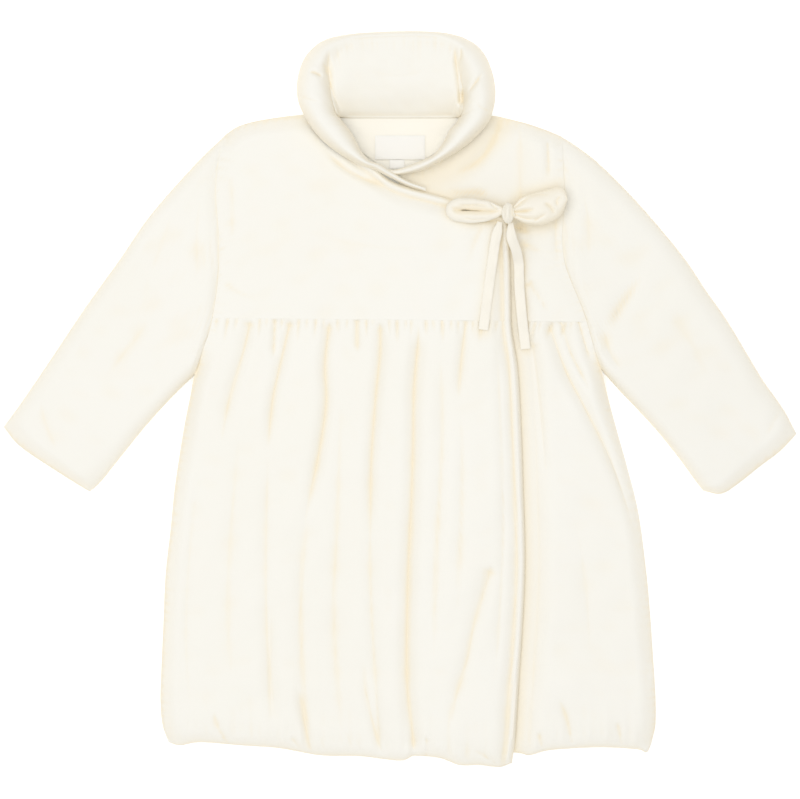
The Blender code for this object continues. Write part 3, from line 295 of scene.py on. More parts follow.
WRAP_SKIRT_FOLDS = (
    Fold("right slant", ((-149, 80), (-157, 46), (-172, -6), (-180, -50)), 4.0, 7.0),
    Fold("right tuck", ((-125, 80), (-126, 55), (-127, 38)), 3.0, 4.0),
    Fold("right fall", ((-109, 80), (-122, 25), (-128, -6), (-133, -60)), 4.5, 6.5),
    Fold("middle right fall", ((-70, 80), (-75, 36), (-74, -6), (-82, -59), (-98, -135)), 5.0, 6.5),
    Fold("middle tuck", ((-43, 80), (-43, 60), (-43, 45)), 3.0, 4.0),
    Fold("middle fall", ((-20, 80), (-20, 46), (-25, -6), (-29, -69), (-30, -165)), 5.0, 6.5),
    Fold("deep fall", ((18, 80), (18, 57), (14, 9), (13, -48), (11, -111), (8, -183), (7, -278),
                       (13, -340), (15, -362)), 6.5, 8.0, 0.08, 0.05),
    Fold("wrap tuck", ((66, 80), (59, 15), (60, -5)), 3.5, 5.5),
    Fold("edge slant", ((92, -165), (83, -195), (72, -233), (66, -263), (54, -302), (44, -345)), 3.5, 8.0),
    Fold("hem pinch right", ((-128, -200), (-130, -288), (-126, -335)), 2.2, 8.0, 0.4),
    Fold("hem pinch middle right", ((-104, -280), (-94, -331), (-90, -357)), 3.2, 5.0, 0.4, 0.1),
    Fold("hem pinch middle", ((-36, -255), (-33, -299), (-22, -340), (-16, -360)), 2.8, 6.0, 0.4, 0.1),
    Fold("hem pinch corner", ((-188, -310), (-180, -332), (-172, -346)), 2.5, 5.0, 0.4, 0.1),
    Fold("hem crease low", ((-110, -337), (-103, -346), (-100, -352)), 2.0, 4.0, 0.3, 0.1),
    Fold("hem crease edge", ((74, -350), (84, -356), (96, -365)), 2.0, 4.5, 0.3, 0.1),
    Fold("hem crease notch", ((26, -335), (27, -350), (26, -358)), 2.4, 3.5, 0.3, 0.1),
    Fold("long shade side", ((-200, -60), (-210, -150), (-214, -240), (-208, -330)), 1.8, 11.0, 0.3),
    Fold("long shade right", ((-160, -20), (-168, -120), (-172, -220), (-166, -300)), 1.9, 10.0, 0.3),
    Fold("right fall low", ((-131, -50), (-134, -130), (-133, -230), (-124, -335)), 2.4, 8.0, 0.2, 0.2),
    Fold("middle right low", ((-92, -110), (-99, -180), (-98, -260), (-92, -345)), 2.6, 7.5, 0.25, 0.15),
    Fold("long shade middle", ((-58, 20), (-62, -100), (-66, -220), (-58, -340)), 2.0, 8.0, 0.3, 0.2),
    Fold("middle low", ((-30, -120), (-29, -200), (-24, -290), (-20, -352)), 2.8, 7.0, 0.25, 0.1),
    Fold("long shade wrap", ((40, 60), (42, -40), (36, -160), (33, -280)), 2.2, 7.5, 0.2),
    Fold("wrap tuck low", ((60, 0), (62, -70), (60, -150), (56, -230)), 1.8, 7.5, 0.3),
    Fold("long shade edge", ((96, 66), (100, -30), (103, -130), (98, -240), (92, -330)), 2.0, 5.5, 0.15),
)
UNDER_SKIRT_FOLDS = (
    Fold("side fall", ((147, 80), (166, 28), (184, -7), (206, -50), (222, -92), (238, -145)), 5.0, 7.0),
    Fold("side tuck", ((160, 80), (170, 48), (184, 20), (192, 2)), 3.2, 4.5),
    Fold("armhole tuck", ((178, 80), (186, 52), (193, 34)), 2.6, 4.0),
    Fold("soft fall", ((132, 60), (138, 10), (143, -40), (147, -90)), 2.2, 7.0),
    Fold("low fall", ((176, -120), (186, -190), (190, -260)), 1.4, 10.0, 0.4),
    Fold("hem pinch left", ((158, -296), (168, -324), (172, -348)), 3.0, 5.0, 0.4, 0.1),
    Fold("hem crease side", ((216, -318), (220, -336), (222, -348)), 2.2, 4.5, 0.4, 0.1),
    Fold("hem crease near", ((138, -330), (141, -344), (143, -352)), 2.2, 4.0, 0.4, 0.1),
)
WRAP_BODICE_FOLDS = (
    Fold("armhole crease", ((-170, 232), (-168, 190), (-168, 150)), 1.6, 7.0, 0.3),
    Fold("armhole low", ((-178, 118), (-160, 106), (-138, 100)), 1.2, 6.0, 0.2, 0.6),
    Fold("under bow dimple", ((84, 176), (74, 156), (66, 132)), 1.6, 8.0, 0.2, 0.6),
    Fold("under roll shade", ((-78, 250), (-54, 230), (-34, 219.5), (-8, 212)), 3.0, 4.5, 0.3, 0.3),
    Fold("chest drift", ((-120, 180), (-60, 158), (10, 150), (60, 158)), 0.9, 16.0, 0.4, 0.4),
)
UNDER_BODICE_FOLDS = (
    Fold("armhole crease high", ((147, 262), (148, 244), (148, 215)), 2.4, 4.5, 0.2),
    Fold("chest fall", ((152, 208), (155, 190), (156, 160), (158, 130)), 1.8, 5.0, 0.2),
    Fold("under bow slant", ((128, 118), (140, 100), (150, 84)), 2.0, 6.0),
    Fold("under loop", ((118, 160), (130, 152), (146, 146)), 1.8, 6.0, 0.3, 0.5),
    Fold("roll shade", ((102, 284), (92, 256), (76, 236), (48, 222)), 3.8, 9.0, 0.15, 0.4),
    Fold("over loop dimple", ((44, 210), (58, 206), (76, 207), (92, 204)), 2.6, 5.0, 0.3, 0.3),
    Fold("loop side dimple", ((116, 172), (124, 168), (132, 164)), 2.4, 4.5, 0.3, 0.5),
    Fold("knot pocket", ((113, 175), (119, 172), (127, 172)), 4.0, 3.2, 0.3, 0.3),
)
RIGHT_SLEEVE_FOLDS = (
    Fold("elbow crease", ((-250, 84), (-270, 52), (-298, 22)), 1.8, 13.0, 0.4, 0.4),
    Fold("head crease", ((-196, 214), (-203, 170), (-202, 110)), 1.6, 9.0, 0.4, 0.4),
    Fold("upper drift", ((-222, 200), (-244, 140), (-262, 84)), 1.2, 15.0, 0.4, 0.4),
    Fold("cuff crease", ((-362, 18), (-356, -20), (-340, -58)), 1.5, 10.0, 0.4, 0.3),
)
LEFT_SLEEVE_FOLDS = (
    Fold("elbow crease", ((246, 126), (228, 104), (208, 72)), 2.6, 7.0, 0.4, 0.3),
    Fold("underarm crease", ((203, 72), (210, 48), (224, 26)), 2.4, 6.5, 0.3, 0.4),
    Fold("cuff crease", ((388, 14), (379, -12), (364, -40)), 1.8, 7.0, 0.4, 0.3),
    Fold("head crease", ((178, 226), (188, 180), (188, 126)), 1.5, 9.0, 0.4, 0.4),
    Fold("fore crease", ((256, 108), (288, 62), (312, 12)), 1.3, 14.0, 0.4, 0.4),
)

# The gathers along the waist seam, from the wearer's right side.
GATHERS = (
    Gather(-183, 18, 1.8, 3), Gather(-172, 30, 2.4, 5), Gather(-163, 16, 1.6, 3), Gather(-140, 26, 2.2, 3),
    Gather(-133, 14, 1.5, 2), Gather(-118, 20, 2.0, 2), Gather(-101, 30, 2.4, 3), Gather(-93, 15, 1.6, 1),
    Gather(-84, 24, 2.2, 2), Gather(-76, 14, 1.4, 1), Gather(-62, 22, 2.2, 1), Gather(-53, 15, 1.6),
    Gather(-34, 24, 2.4), Gather(-27, 13, 1.5), Gather(-11, 20, 2.0), Gather(-3, 30, 2.6),
    Gather(6, 15, 1.8), Gather(11, 22, 2.0), Gather(26, 22, 2.4), Gather(33, 14, 1.6, -1),
    Gather(42, 28, 2.4, -1), Gather(51, 16, 1.8, -1), Gather(58, 22, 2.0, -1), Gather(73, 18, 2.0, 1),
    Gather(81, 26, 2.2, 2), Gather(89, 14, 1.6, 2), Gather(97, 20, 1.8, 3), Gather(121, 22, 2.2, 4),
    Gather(128, 14, 1.6, 3), Gather(135, 28, 2.4, 6), Gather(141, 16, 1.8, 4), Gather(153, 20, 2.2, 7),
    Gather(166, 26, 2.2, 9), Gather(172, 16, 1.8, 6),
)
GATHER_WIDTH = 1.9
GATHER_STRENGTH = 0.85
GATHER_REACH = 8.0

# The share of a gather's depth at the seam itself, and how far below it the full depth is reached.
GATHER_ONSET = (0.6, 3.5)


def waist(x: Grid) -> Grid:
    """The height of the waist seam across the coat."""
    return WAIST_Y + WAIST_SLOPE * np.asarray(x, dtype=float)


def gathers_at(x: Grid, y: Grid) -> Grid:
    """How deep the gathers are at each point below the waist seam.

    Args:
        x: The points' x.
        y: The points' y.

    Returns:
        The depth, in millimetres.
    """
    drop = waist(x) - y
    depth = np.zeros(np.shape(x))
    for gather in GATHERS:
        near = np.abs(x - gather.x) < GATHER_REACH + abs(gather.lean)
        offset = (x[near] - gather.x + gather.lean * drop[near] / gather.run) / GATHER_WIDTH
        onset = blend(GATHER_ONSET[0], 1.0, glide(drop[near] / GATHER_ONSET[1]))
        fade = onset * (1.0 - glide(drop[near] / gather.run))
        depth[near] += GATHER_STRENGTH * gather.depth * fade * np.exp(-offset * offset)
    return depth


@dataclass(frozen=True)
class Swell:
    """One slow wave of the down under the cloth: its heading in degrees, length, height and phase."""

    heading: float
    length: float
    height: float
    phase: float


SWELLS = (
    Swell(12, 94, 0.42, 0.4),
    Swell(71, 71, 0.36, 2.1),
    Swell(128, 52, 0.26, 4.4),
    Swell(163, 37, 0.17, 1.3),
    Swell(44, 28, 0.11, 5.2),
    Swell(101, 21, 0.07, 3.0),
)


def down_relief(x: Grid, y: Grid) -> Grid:
    """The uneven swelling of the down, about a millimetre from low to high.

    Args:
        x: The points' x.
        y: The points' y.

    Returns:
        The height to add to the fill, in millimetres.
    """
    bent_x = x + 11.0 * np.sin(y / 43.0 + 1.2)
    bent_y = y + 9.0 * np.sin(x / 37.0 + 0.5)
    relief = np.zeros(np.shape(x))
    for swell in SWELLS:
        turn = math.radians(swell.heading)
        run = (bent_x * math.cos(turn) + bent_y * math.sin(turn)) / swell.length
        relief += swell.height * np.sin(2.0 * math.pi * run + swell.phase)
    return relief


@dataclass(frozen=True)
class Pucker:
    """The small puckers that a seam draws into the cloth beside it."""

    height: float = 0.35
    run: float = 9.0
    pitch: float = 8.5

    def at(self, distance: Grid, along: Grid) -> Grid:
        """The height of the puckers near a seam.

        Args:
            distance: The distance from the seam.
            along: The place along the seam.

        Returns:
            The height to add to the fill, in millimetres.
        """
        sway = along / self.pitch + 0.9 * np.sin(along / (2.9 * self.pitch) + 0.7)
        ripple = np.sin(2.0 * math.pi * sway) * (0.62 + 0.38 * np.sin(along / (1.7 * self.pitch)))
        ripple += 0.45 * np.sin(2.0 * math.pi * along / (0.53 * self.pitch) + 2.0)
        return self.height * ripple * np.exp(-distance / self.run) * glide(distance / 1.5)


SEAM_PUCKER = Pucker()
RIM_PUCKER = Pucker(height=0.28, run=7.0, pitch=10.0)
HEM_PUCKER = Pucker(height=1.1, run=16.0, pitch=17.0)


def patch(foot: Line, head: Line, right: Line, left: Line, across: Grid, along: Grid) -> Grid:
    """Blend four boundary lines into a lattice of points.

    Args:
        foot: The lower line, from the right side to the left.
        head: The upper line, from the right side to the left.
        right: The right side's line, upwards.
        left: The left side's line, upwards.
        across: The columns' shares.
        along: The rows' shares.

    Returns:
        The lattice, with a row for each share along and the axes last.
    """
    u = across[None, :, None]
    v = along[:, None, None]
    spread_u = (1.0 - v) * foot.at(across)[None] + v * head.at(across)[None]
    spread_v = (1.0 - u) * right.at(along)[:, None] + u * left.at(along)[:, None]
    corners = foot.at(0.0), foot.at(1.0), head.at(0.0), head.at(1.0)
    low = (1.0 - u) * corners[0] + u * corners[1]
    high = (1.0 - u) * corners[2] + u * corners[3]
    return spread_u + spread_v - ((1.0 - v) * low + v * high)


def clipped(points: Sequence[Point], low: float, high: float) -> Line:
    """The stretch of a downward line between two heights, turned to run up.

    Args:
        points: The line's points, from the top down.
        low: The height where the stretch starts.
        high: The height where it ends.

    Returns:
        The new line.
    """
    line = Line(points)
    inside = [tuple(point) for point in line.points if low < point[1] < high]
    ends = ((float(line.x_at(high)), high), (float(line.x_at(low)), low))
    return Line([ends[0], *inside[::4], ends[1]][::-1])


def waist_foot(right: Line, left: Line, spots: tuple[float, float, float]) -> Line:
    """A bodice's lower line, just above the waist seam.

    Args:
        right: The line of its right side.
        left: The line of its left side.
        spots: The x where the seam's height is read: at the right end, between and at the left end.

    Returns:
        The line, from the right side to the left.
    """
    heights = [float(waist(x)) + SEAM_GAP for x in spots]
    places = (float(right.x_at(WAIST_Y)), spots[1], float(left.x_at(WAIST_Y)))
    return Line(tuple(zip(places, heights)))


def closer_ends(count: int, pull: float = 0.35) -> Grid:
    """Shares from 0 to 1 that lie closer together towards both ends."""
    share = np.linspace(0.0, 1.0, count)
    return blend(share, 0.5 - 0.5 * np.cos(math.pi * share), pull)


def skirt_lattice(lines: Sequence[Line], hem: Line, cells: int, rows: int) -> Grid:
    """A lattice whose columns follow a skirt's fold lines.

    Args:
        lines: The lines from the waist to the hem, from the right side to the left.
        hem: The hem's line.
        cells: The number of columns between two lines.
        rows: The number of rows.

    Returns:
        The lattice from the waist down, with the axes last.
    """
    places = np.linspace(0.0, len(lines) - 1.0, (len(lines) - 1) * cells + 1)
    down = closer_ends(rows)
    middle = float(hem.points[:, 1].mean())
    columns = []
    for place in places:
        index = min(int(place), len(lines) - 2)
        share = place - index

        def x_at(y: Grid) -> Grid:
            """The column's x at a height."""
            return blend(lines[index].x_at(y), lines[index + 1].x_at(y), share)

        foot = hem.y_at(x_at(middle))
        top = waist(x_at(WAIST_Y)) - SEAM_GAP
        y = top + (foot - top) * down
        columns.append(np.stack([x_at(y), y], axis=-1))
    return np.stack(columns, axis=1)


def spread_blur(values: Grid, steps: int) -> Grid:
    """Average a lattice of values with its neighbours a number of times.

    Args:
        values: The lattice of values.
        steps: How many times it is averaged.

    Returns:
        The softened lattice.
    """
    soft = values
    for _ in range(steps):
        padded = np.pad(soft, 1, mode="edge")
        sides = padded[:-2, 1:-1] + padded[2:, 1:-1] + padded[1:-1, :-2] + padded[1:-1, 2:]
        soft = 0.5 * soft + 0.125 * sides
    return soft


@dataclass(frozen=True)
class Cut:
    """The flat size that a piece's outer skin was cut to, in metres."""

    width: float
    length: float
    area: float

    @classmethod
    def of(cls, skin: Grid, ring: bool) -> "Cut":
        """Measure a skin, all round where it closes on itself.

        Args:
            skin: The skin's points in millimetres, rows first.
            ring: Whether its last column joins its first.

        Returns:
            Its longest row, its longest column and its area.
        """
        lattice = np.concatenate([skin, skin[:, :1]], axis=1) if ring else skin
        across = np.linalg.norm(np.diff(lattice, axis=1), axis=2).sum(axis=1).max()
        along = np.linalg.norm(np.diff(lattice, axis=0), axis=2).sum(axis=0).max()
        first = lattice[1:, 1:] - lattice[:-1, :-1]
        second = lattice[1:, :-1] - lattice[:-1, 1:]
        area = 0.5 * np.linalg.norm(np.cross(first, second), axis=2).sum()
        return cls(float(across) * MM, float(along) * MM, float(area) * MM * MM)


# An edge between two faces that meet at more than this angle is a sharp one.
EDGE_ANGLE = math.radians(48.0)

# The painted warm shade in a crease is read from the surface's drop below its own averages, one fine
# and one broad, and from how steep it is, so steep flanks get painted shade too. CREASE_MOST is the
# most that it may reach beside a layer that lies over it.
CREASE_STEPS = (6, 40)
CREASE_GAIN = (1.0, 0.16)
STEEP_GAIN = 1.15
CREASE_MOST = 1.3


def painted_crease_shade(skin: Grid) -> Grid:
    """The painted warm shade on each point of a skin: more in a crease and on a steep flank.

    Args:
        skin: The skin's points in millimetres, rows first.

    Returns:
        The painted shade, from 0 to 1.
    """
    height = skin[..., 2]
    normal = np.cross(np.gradient(skin, axis=0), np.gradient(skin, axis=1))
    level = np.abs(normal[..., 2]) / np.maximum(np.linalg.norm(normal, axis=2), 1e-9)
    # Painted shade on the steep flanks, then in the creases below the surface's averages.
    depth = STEEP_GAIN * (1.0 - level)
    for steps, gain in zip(CREASE_STEPS, CREASE_GAIN):
        depth += gain * np.maximum(spread_blur(height, steps) - height, 0.0)
    return np.clip(depth, 0.0, 1.0)


# The painted warm shade under the tie, how far that reaches beside it, and the tie's courses seen from
# above: its two tails, then its two loops.
TIE_SHADE = 0.8
TIE_REACH = 8.0
TIE_COURSES = (
    Line(((99.6, 176.5), (95.5, 160), (91, 130), (87, 100), (83, 69))),
    Line(((110.4, 175.8), (111, 162), (116, 148), (119, 124), (121.5, 86), (125.5, 50))),
    Line(((52, 186), (70, 179), (94, 181), (107, 184), (125, 174.5), (140, 173), (152, 177), (164, 190))),
    Line(((52, 194), (72, 197), (95, 193), (107, 190), (122, 201), (145, 208), (157, 211))),
)


def painted_shade_by_tie(x: Grid, y: Grid) -> Grid:
    """The painted shade on the cloth beside and under the tie."""
    nearest = np.minimum.reduce([course.away(x, y) for course in TIE_COURSES])
    return TIE_SHADE * np.exp(-(nearest / TIE_REACH) ** 2)


def placed(name: str, data: bpy.types.ID) -> bpy.types.Object:
    """Make an object of some data and put it in the scene."""
    made = bpy.data.objects.new(name, data)
    bpy.context.scene.collection.objects.link(made)
    return made


def clothed(name: str, mesh: bpy.types.Mesh, warmth: Grid, flat: Grid) -> bpy.types.Object:
    """Give a mesh what its cloth's finish reads, and make it a piece.

    Args:
        name: The piece's name.
        mesh: The mesh.
        warmth: The painted warm shade on each point, kept as the crease attribute.
        flat: Each point's place on the flat cloth in millimetres, kept as the UV map in metres.

    Returns:
        The new object.
    """
    mesh.attributes.new("crease", "FLOAT", "POINT").data.foreach_set("value", warmth)
    corner_points = np.empty(len(mesh.loops), dtype=np.int32)
    mesh.loops.foreach_get("vertex_index", corner_points)
    mesh.uv_layers.new(name="cloth").data.foreach_set("uv", (flat * MM)[corner_points].ravel())
    mesh.update()
    return placed(name, mesh)


def closed_quilt(name: str, outer: Grid, inner: Grid, flat: Grid, ring: bool = False,
                 shade: Grid | float = 0.0) -> bpy.types.Object:
    """Join two skins over one lattice into a closed wall.

    Args:
        name: The piece's name.
        outer: The outer skin's points in millimetres, rows first and the axes last.
        inner: The inner skin's points.
        flat: The lattice's place on the flat cloth in millimetres, for the weave.
        ring: Whether the last column joins the first.
        shade: The painted shade that the outer skin holds beside a layer that lies over it.

    Returns:
        The new object, with a UV map in metres and a crease attribute of painted shade.
    """
    rows, columns = outer.shape[:2]
    count = rows * columns
    index = np.arange(count).reshape(rows, columns)
    ahead = np.roll(index, -1, axis=1) if ring else index[:, 1:]
    here = index if ring else index[:, :-1]
    top = np.stack([here[:-1], ahead[:-1], ahead[1:], here[1:]], axis=-1).reshape(-1, 4)
    under = top[:, ::-1] + count
    first = np.stack([ahead[0], here[0], here[0] + count, ahead[0] + count], axis=-1)
    last = np.stack([here[-1], ahead[-1], ahead[-1] + count, here[-1] + count], axis=-1)
    faces = [top, under, first, last]
    if not ring:
        near, far = index[:, 0], index[:, -1]
        faces.append(np.stack([near[:-1], near[1:], near[1:] + count, near[:-1] + count], axis=-1))
        faces.append(np.stack([far[1:], far[:-1], far[:-1] + count, far[1:] + count], axis=-1))
    quads = np.concatenate(faces)
    points = np.concatenate([outer.reshape(-1, 3), inner.reshape(-1, 3)]) * MM
    mesh = bpy.data.meshes.new(name)
    mesh.from_pydata(points.tolist(), [], quads.tolist())
    corners = points[quads]
    normals = np.cross(corners[:, 2] - corners[:, 0], corners[:, 3] - corners[:, 1])
    if (normals * corners.mean(axis=1)).sum() < 0.0:
        mesh.flip_normals()
    mesh.shade_smooth()
    mesh.set_sharp_from_angle(angle=EDGE_ANGLE)
    Cut.of(outer, ring)
    # Painted warm shade: in the creases, on the steep flanks and beside a layer that lies over it.
    held = np.clip(painted_crease_shade(outer) + shade, 0.0, CREASE_MOST)
    warmth = np.concatenate([held.ravel(), np.zeros(count)])
    return clothed(name, mesh, warmth, np.tile(flat.reshape(-1, 2), (2, 1)))


class Socket:
    """One output socket of a shader tree, with arithmetic that adds Math nodes."""

    def __init__(self, tree: "Shader", link: bpy.types.NodeSocket) -> None:
        """Wrap an output socket of a tree."""
        self.tree = tree
        self.link = link

    def _with(self, operation: str, *values: "Socket | float") -> "Socket":
        """Add a Math node over this tree's values."""
        return self.tree.node("ShaderNodeMath", {"operation": operation}, dict(enumerate(values)))

    def __add__(self, other: "Socket | float") -> "Socket":
        """Add a value."""
        return self._with("ADD", self, other)

    __radd__ = __add__

    def __sub__(self, other: "Socket | float") -> "Socket":
        """Take a value away."""
        return self._with("SUBTRACT", self, other)

    def __rsub__(self, other: float) -> "Socket":
        """Take this value away from a number."""
        return self._with("SUBTRACT", other, self)

    def __mul__(self, other: "Socket | float") -> "Socket":
        """Multiply by a value."""
        return self._with("MULTIPLY", self, other)

    __rmul__ = __mul__

    def wave(self) -> "Socket":
        """The sine of this value."""
        return self._with("SINE", self)

    def clamp(self) -> "Socket":
        """Hold this value between 0 and 1."""
        return self.tree.node("ShaderNodeClamp", {}, {0: self})


class Shader:
    """A material's node tree, built from named settings and values."""

    def __init__(self, name: str) -> None:
        """Start a material with a Principled shader."""
        self.material = bpy.data.materials.new(name)
        self.material.use_nodes = True
        self.nodes = self.material.node_tree.nodes
        self.links = self.material.node_tree.links
        self.main = self.nodes["Principled BSDF"]

    def plug(self, node: bpy.types.Node, values: dict) -> None:
        """Set or link a node's inputs.

        Args:
            node: The node.
            values: Its inputs by name or rank, each a number, a colour or a socket.
        """
        for key, value in values.items():
            if isinstance(value, Socket):
                self.links.new(value.link, node.inputs[key])
            else:
                node.inputs[key].default_value = value

    def node(self, kind: str, settings: dict, values: dict, output: int | str = 0) -> Socket:
        """Add a node and return one of its outputs.

        Args:
            kind: The node's type.
            settings: Its own settings, set before its inputs.
            values: Its inputs by name or rank.
            output: The output that is wanted.

        Returns:
            The wrapped output socket.
        """
        node = self.nodes.new(kind)
        for key, value in settings.items():
            setattr(node, key, value)
        self.plug(node, values)
        return Socket(self, node.outputs[output])

    def mix(self, share: Socket, first: "Socket | tuple", second: "Socket | tuple") -> Socket:
        """Mix two colours by a share."""
        settings = {"data_type": "RGBA"}
        return self.node("ShaderNodeMix", settings, {0: share, 6: first, 7: second}, 2)

    def tint(self, colour: "Socket | tuple", by: "Socket | tuple", share: "Socket | float") -> Socket:
        """Multiply a colour by another, by a share."""
        settings = {"data_type": "RGBA", "blend_type": "MULTIPLY"}
        return self.node("ShaderNodeMix", settings, {0: share, 6: colour, 7: by}, 2)

    def noise(self, place: Socket, scale: float, detail: float = 2.0) -> Socket:
        """A noise value at a place."""
        return self.node("ShaderNodeTexNoise", {}, {"Vector": place, "Scale": scale, "Detail": detail})

    def bump(self, height: Socket, relief: float, strength: float, more: dict | None = None) -> Socket:
        """Bend the normal by a height.

        Args:
            height: The height, from 0 to 1.
            relief: What a height of 1 stands for, in metres.
            strength: The share of it that shows.
            more: Further inputs, such as the normal that it starts from.

        Returns:
            The new normal.
        """
        values = {"Height": height, "Distance": relief, "Strength": strength, **(more or {})}
        return self.node("ShaderNodeBump", {}, values)

    def axes(self, place: Socket) -> tuple[Socket, Socket]:
        """The first two parts of a vector."""
        first, second = (self.node("ShaderNodeSeparateXYZ", {}, {0: place}, rank) for rank in (0, 1))
        return first, second

    def weave(self, pitch: float) -> Socket:
        """The height of a plain weave of threads over the piece's UV map.

        Args:
            pitch: The distance between two threads, in metres.

        Returns:
            The height, from 0 to 1.
        """
        across, along = self.axes(self.node("ShaderNodeUVMap", {"uv_map": "cloth"}, {}))
        turn = 2.0 * math.pi / pitch
        warp = (across * turn).wave()
        weft = (along * turn).wave()
        return warp * weft * 0.5 + 0.5


@dataclass(frozen=True)
class ShellCloth:
    """The coat's dense cream cotton over down, with a faint sheen."""

    name: str = "shell_cloth"
    colour: tuple = (0.925, 0.908, 0.842, 1.0)
    pale: tuple = (0.933, 0.920, 0.868, 1.0)
    # warm is the tint of the painted shade that the crease attribute lays on, and warmth is how strongly it
    # shows.
    warm: tuple = (1.0, 0.915, 0.76, 1.0)
    warmth: float = 0.75
    roughness: float = 0.56
    sheen: float = 0.22
    weave_pitch: float = 0.00055
    weave_relief: float = 0.00004
    slub_relief: float = 0.00012
    patch_scale: float = 9.0
    slub_scale: float = 160.0
    grain_scale: float = 700.0
    grain_gain: float = 0.16
    sheen_roughness: float = 0.4
    specular: float = 0.32

    def build(self) -> bpy.types.Material:
        """Make the material.

        Returns:
            The material: patches of two creams, with painted warm shade in the creases, over threads and
                slubs.
        """
        shader = Shader(self.name)
        place = shader.node("ShaderNodeTexCoord", {}, {}, "Object")
        patches = shader.noise(place, self.patch_scale, 3.0)
        grain = shader.noise(place, self.grain_scale)
        colour = shader.mix((patches * 1.6 - 0.3).clamp(), self.colour, self.pale)
        # Painted shade: the crease attribute tints the colour warmer and darker in creases, on steep flanks
        # and beside the layers over them.
        crease = shader.node("ShaderNodeAttribute", {"attribute_name": "crease"}, {}, "Fac")
        colour = shader.tint(colour, self.warm, (crease * self.warmth).clamp())
        slub = shader.noise(place, self.slub_scale)
        threads = shader.bump(shader.weave(self.weave_pitch), self.weave_relief, 0.6)
        shader.plug(shader.main, {
            "Base Color": colour,
            "Roughness": self.roughness + (grain - 0.5) * self.grain_gain,
            "Normal": shader.bump(slub, self.slub_relief, 0.5, {"Normal": threads}),
            "Sheen Weight": self.sheen,
            "Sheen Roughness": self.sheen_roughness,
            "Specular IOR Level": self.specular,
        })
        return shader.material


@dataclass(frozen=True)
class SatinRibbon:
    """The tie's narrow satin ribbon, with fine threads along it."""

    name: str = "satin_ribbon"
    colour: tuple = (0.915, 0.872, 0.770, 1.0)
    pale: tuple = (0.935, 0.900, 0.812, 1.0)
    thread_pitch: float = 0.00045
    cross_pitch: float = 0.000765
    relief: float = 0.00004
    streak_scale: float = 60.0
    roughness: float = 0.30
    streak_gain: float = 0.14
    specular: float = 0.5
    sheen: float = 0.15

    def build(self) -> bpy.types.Material:
        """Make the material.

        Returns:
            The material: pale streaks over fine threads along the ribbon.
        """
        shader = Shader(self.name)
        across, along = shader.axes(shader.node("ShaderNodeUVMap", {"uv_map": "cloth"}, {}))
        place = shader.node("ShaderNodeTexCoord", {}, {}, "Object")
        streak = shader.noise(place, self.streak_scale, 3.0)
        rib = (across * (2.0 * math.pi / self.thread_pitch)).wave() * 0.5 + 0.5
        cross = (along * (2.0 * math.pi / self.cross_pitch)).wave() * 0.25
        shader.plug(shader.main, {
            "Base Color": shader.mix(streak, self.colour, self.pale),
            "Roughness": self.roughness + self.streak_gain * streak,
            "Normal": shader.bump(rib + cross, self.relief, 0.7),
            "Specular IOR Level": self.specular,
            "Sheen Weight": self.sheen,
        })
        return shader.material


@dataclass(frozen=True)
class PlainCloth:
    """A fine plain cloth, for the facing and the labels."""

    name: str
    colour: tuple
    pitch: float
    roughness: float
    relief: float = 0.00005
    mottle_scale: float = 30.0
    deepening: float = 0.965
    mottle_gain: float = 0.1
    sheen: float = 0.1

    def build(self) -> bpy.types.Material:
        """Make the material.

        Returns:
            The material: a faint mottle over a plain weave.
        """
        shader = Shader(self.name)
        place = shader.node("ShaderNodeTexCoord", {}, {}, "Object")
        mottle = shader.noise(place, self.mottle_scale, 3.0)
        deep = tuple(value * self.deepening for value in self.colour[:3]) + (1.0,)
        shader.plug(shader.main, {
            "Base Color": shader.mix(mottle, deep, self.colour),
            "Roughness": self.roughness + self.mottle_gain * mottle,
            "Normal": shader.bump(shader.weave(self.pitch), self.relief, 0.6),
            "Sheen Weight": self.sheen,
        })
        return shader.material


class Finish(Enum):
    """The coat's finishes."""

    SHELL = "shell_fabric"
    RIBBON = "ribbon"
    FACING = "facing"
    LABEL = "label"


class Held(Enum):
    """How a sheet of the coat lies."""

    LAID = "laid"
    GATHERED = "gathered"
    FOLDED = "folded"


FINISHES = {
    Finish.SHELL: ShellCloth(),
    Finish.RIBBON: SatinRibbon(),
    Finish.FACING: PlainCloth("facing_cloth", (0.995, 0.965, 0.882, 1.0), 0.0007, 0.60),
    Finish.LABEL: PlainCloth("label_cloth", (0.950, 0.940, 0.910, 1.0), 0.0005, 0.45),
}
MATERIALS: dict[Finish, bpy.types.Material] = {}


def dress(piece: bpy.types.Object, finish: Finish, replaced: Sequence[str] = ()) -> bpy.types.Object:
    """Give a piece its finish and its body, and hide the nodes that it stands for.

    Args:
        piece: The finished piece.
        finish: Its finish.
        replaced: The frame's nodes that it stands for.

    Returns:
        The same piece.
    """
    if finish not in MATERIALS:
        MATERIALS[finish] = FINISHES[finish].build()
    piece.data.materials.clear()
    piece.data.materials.append(MATERIALS[finish])
    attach(piece, "root")
    if replaced:
        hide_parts(*replaced)
    log.info("%s: %d faces", piece.name, len(piece.data.polygons))
    return piece


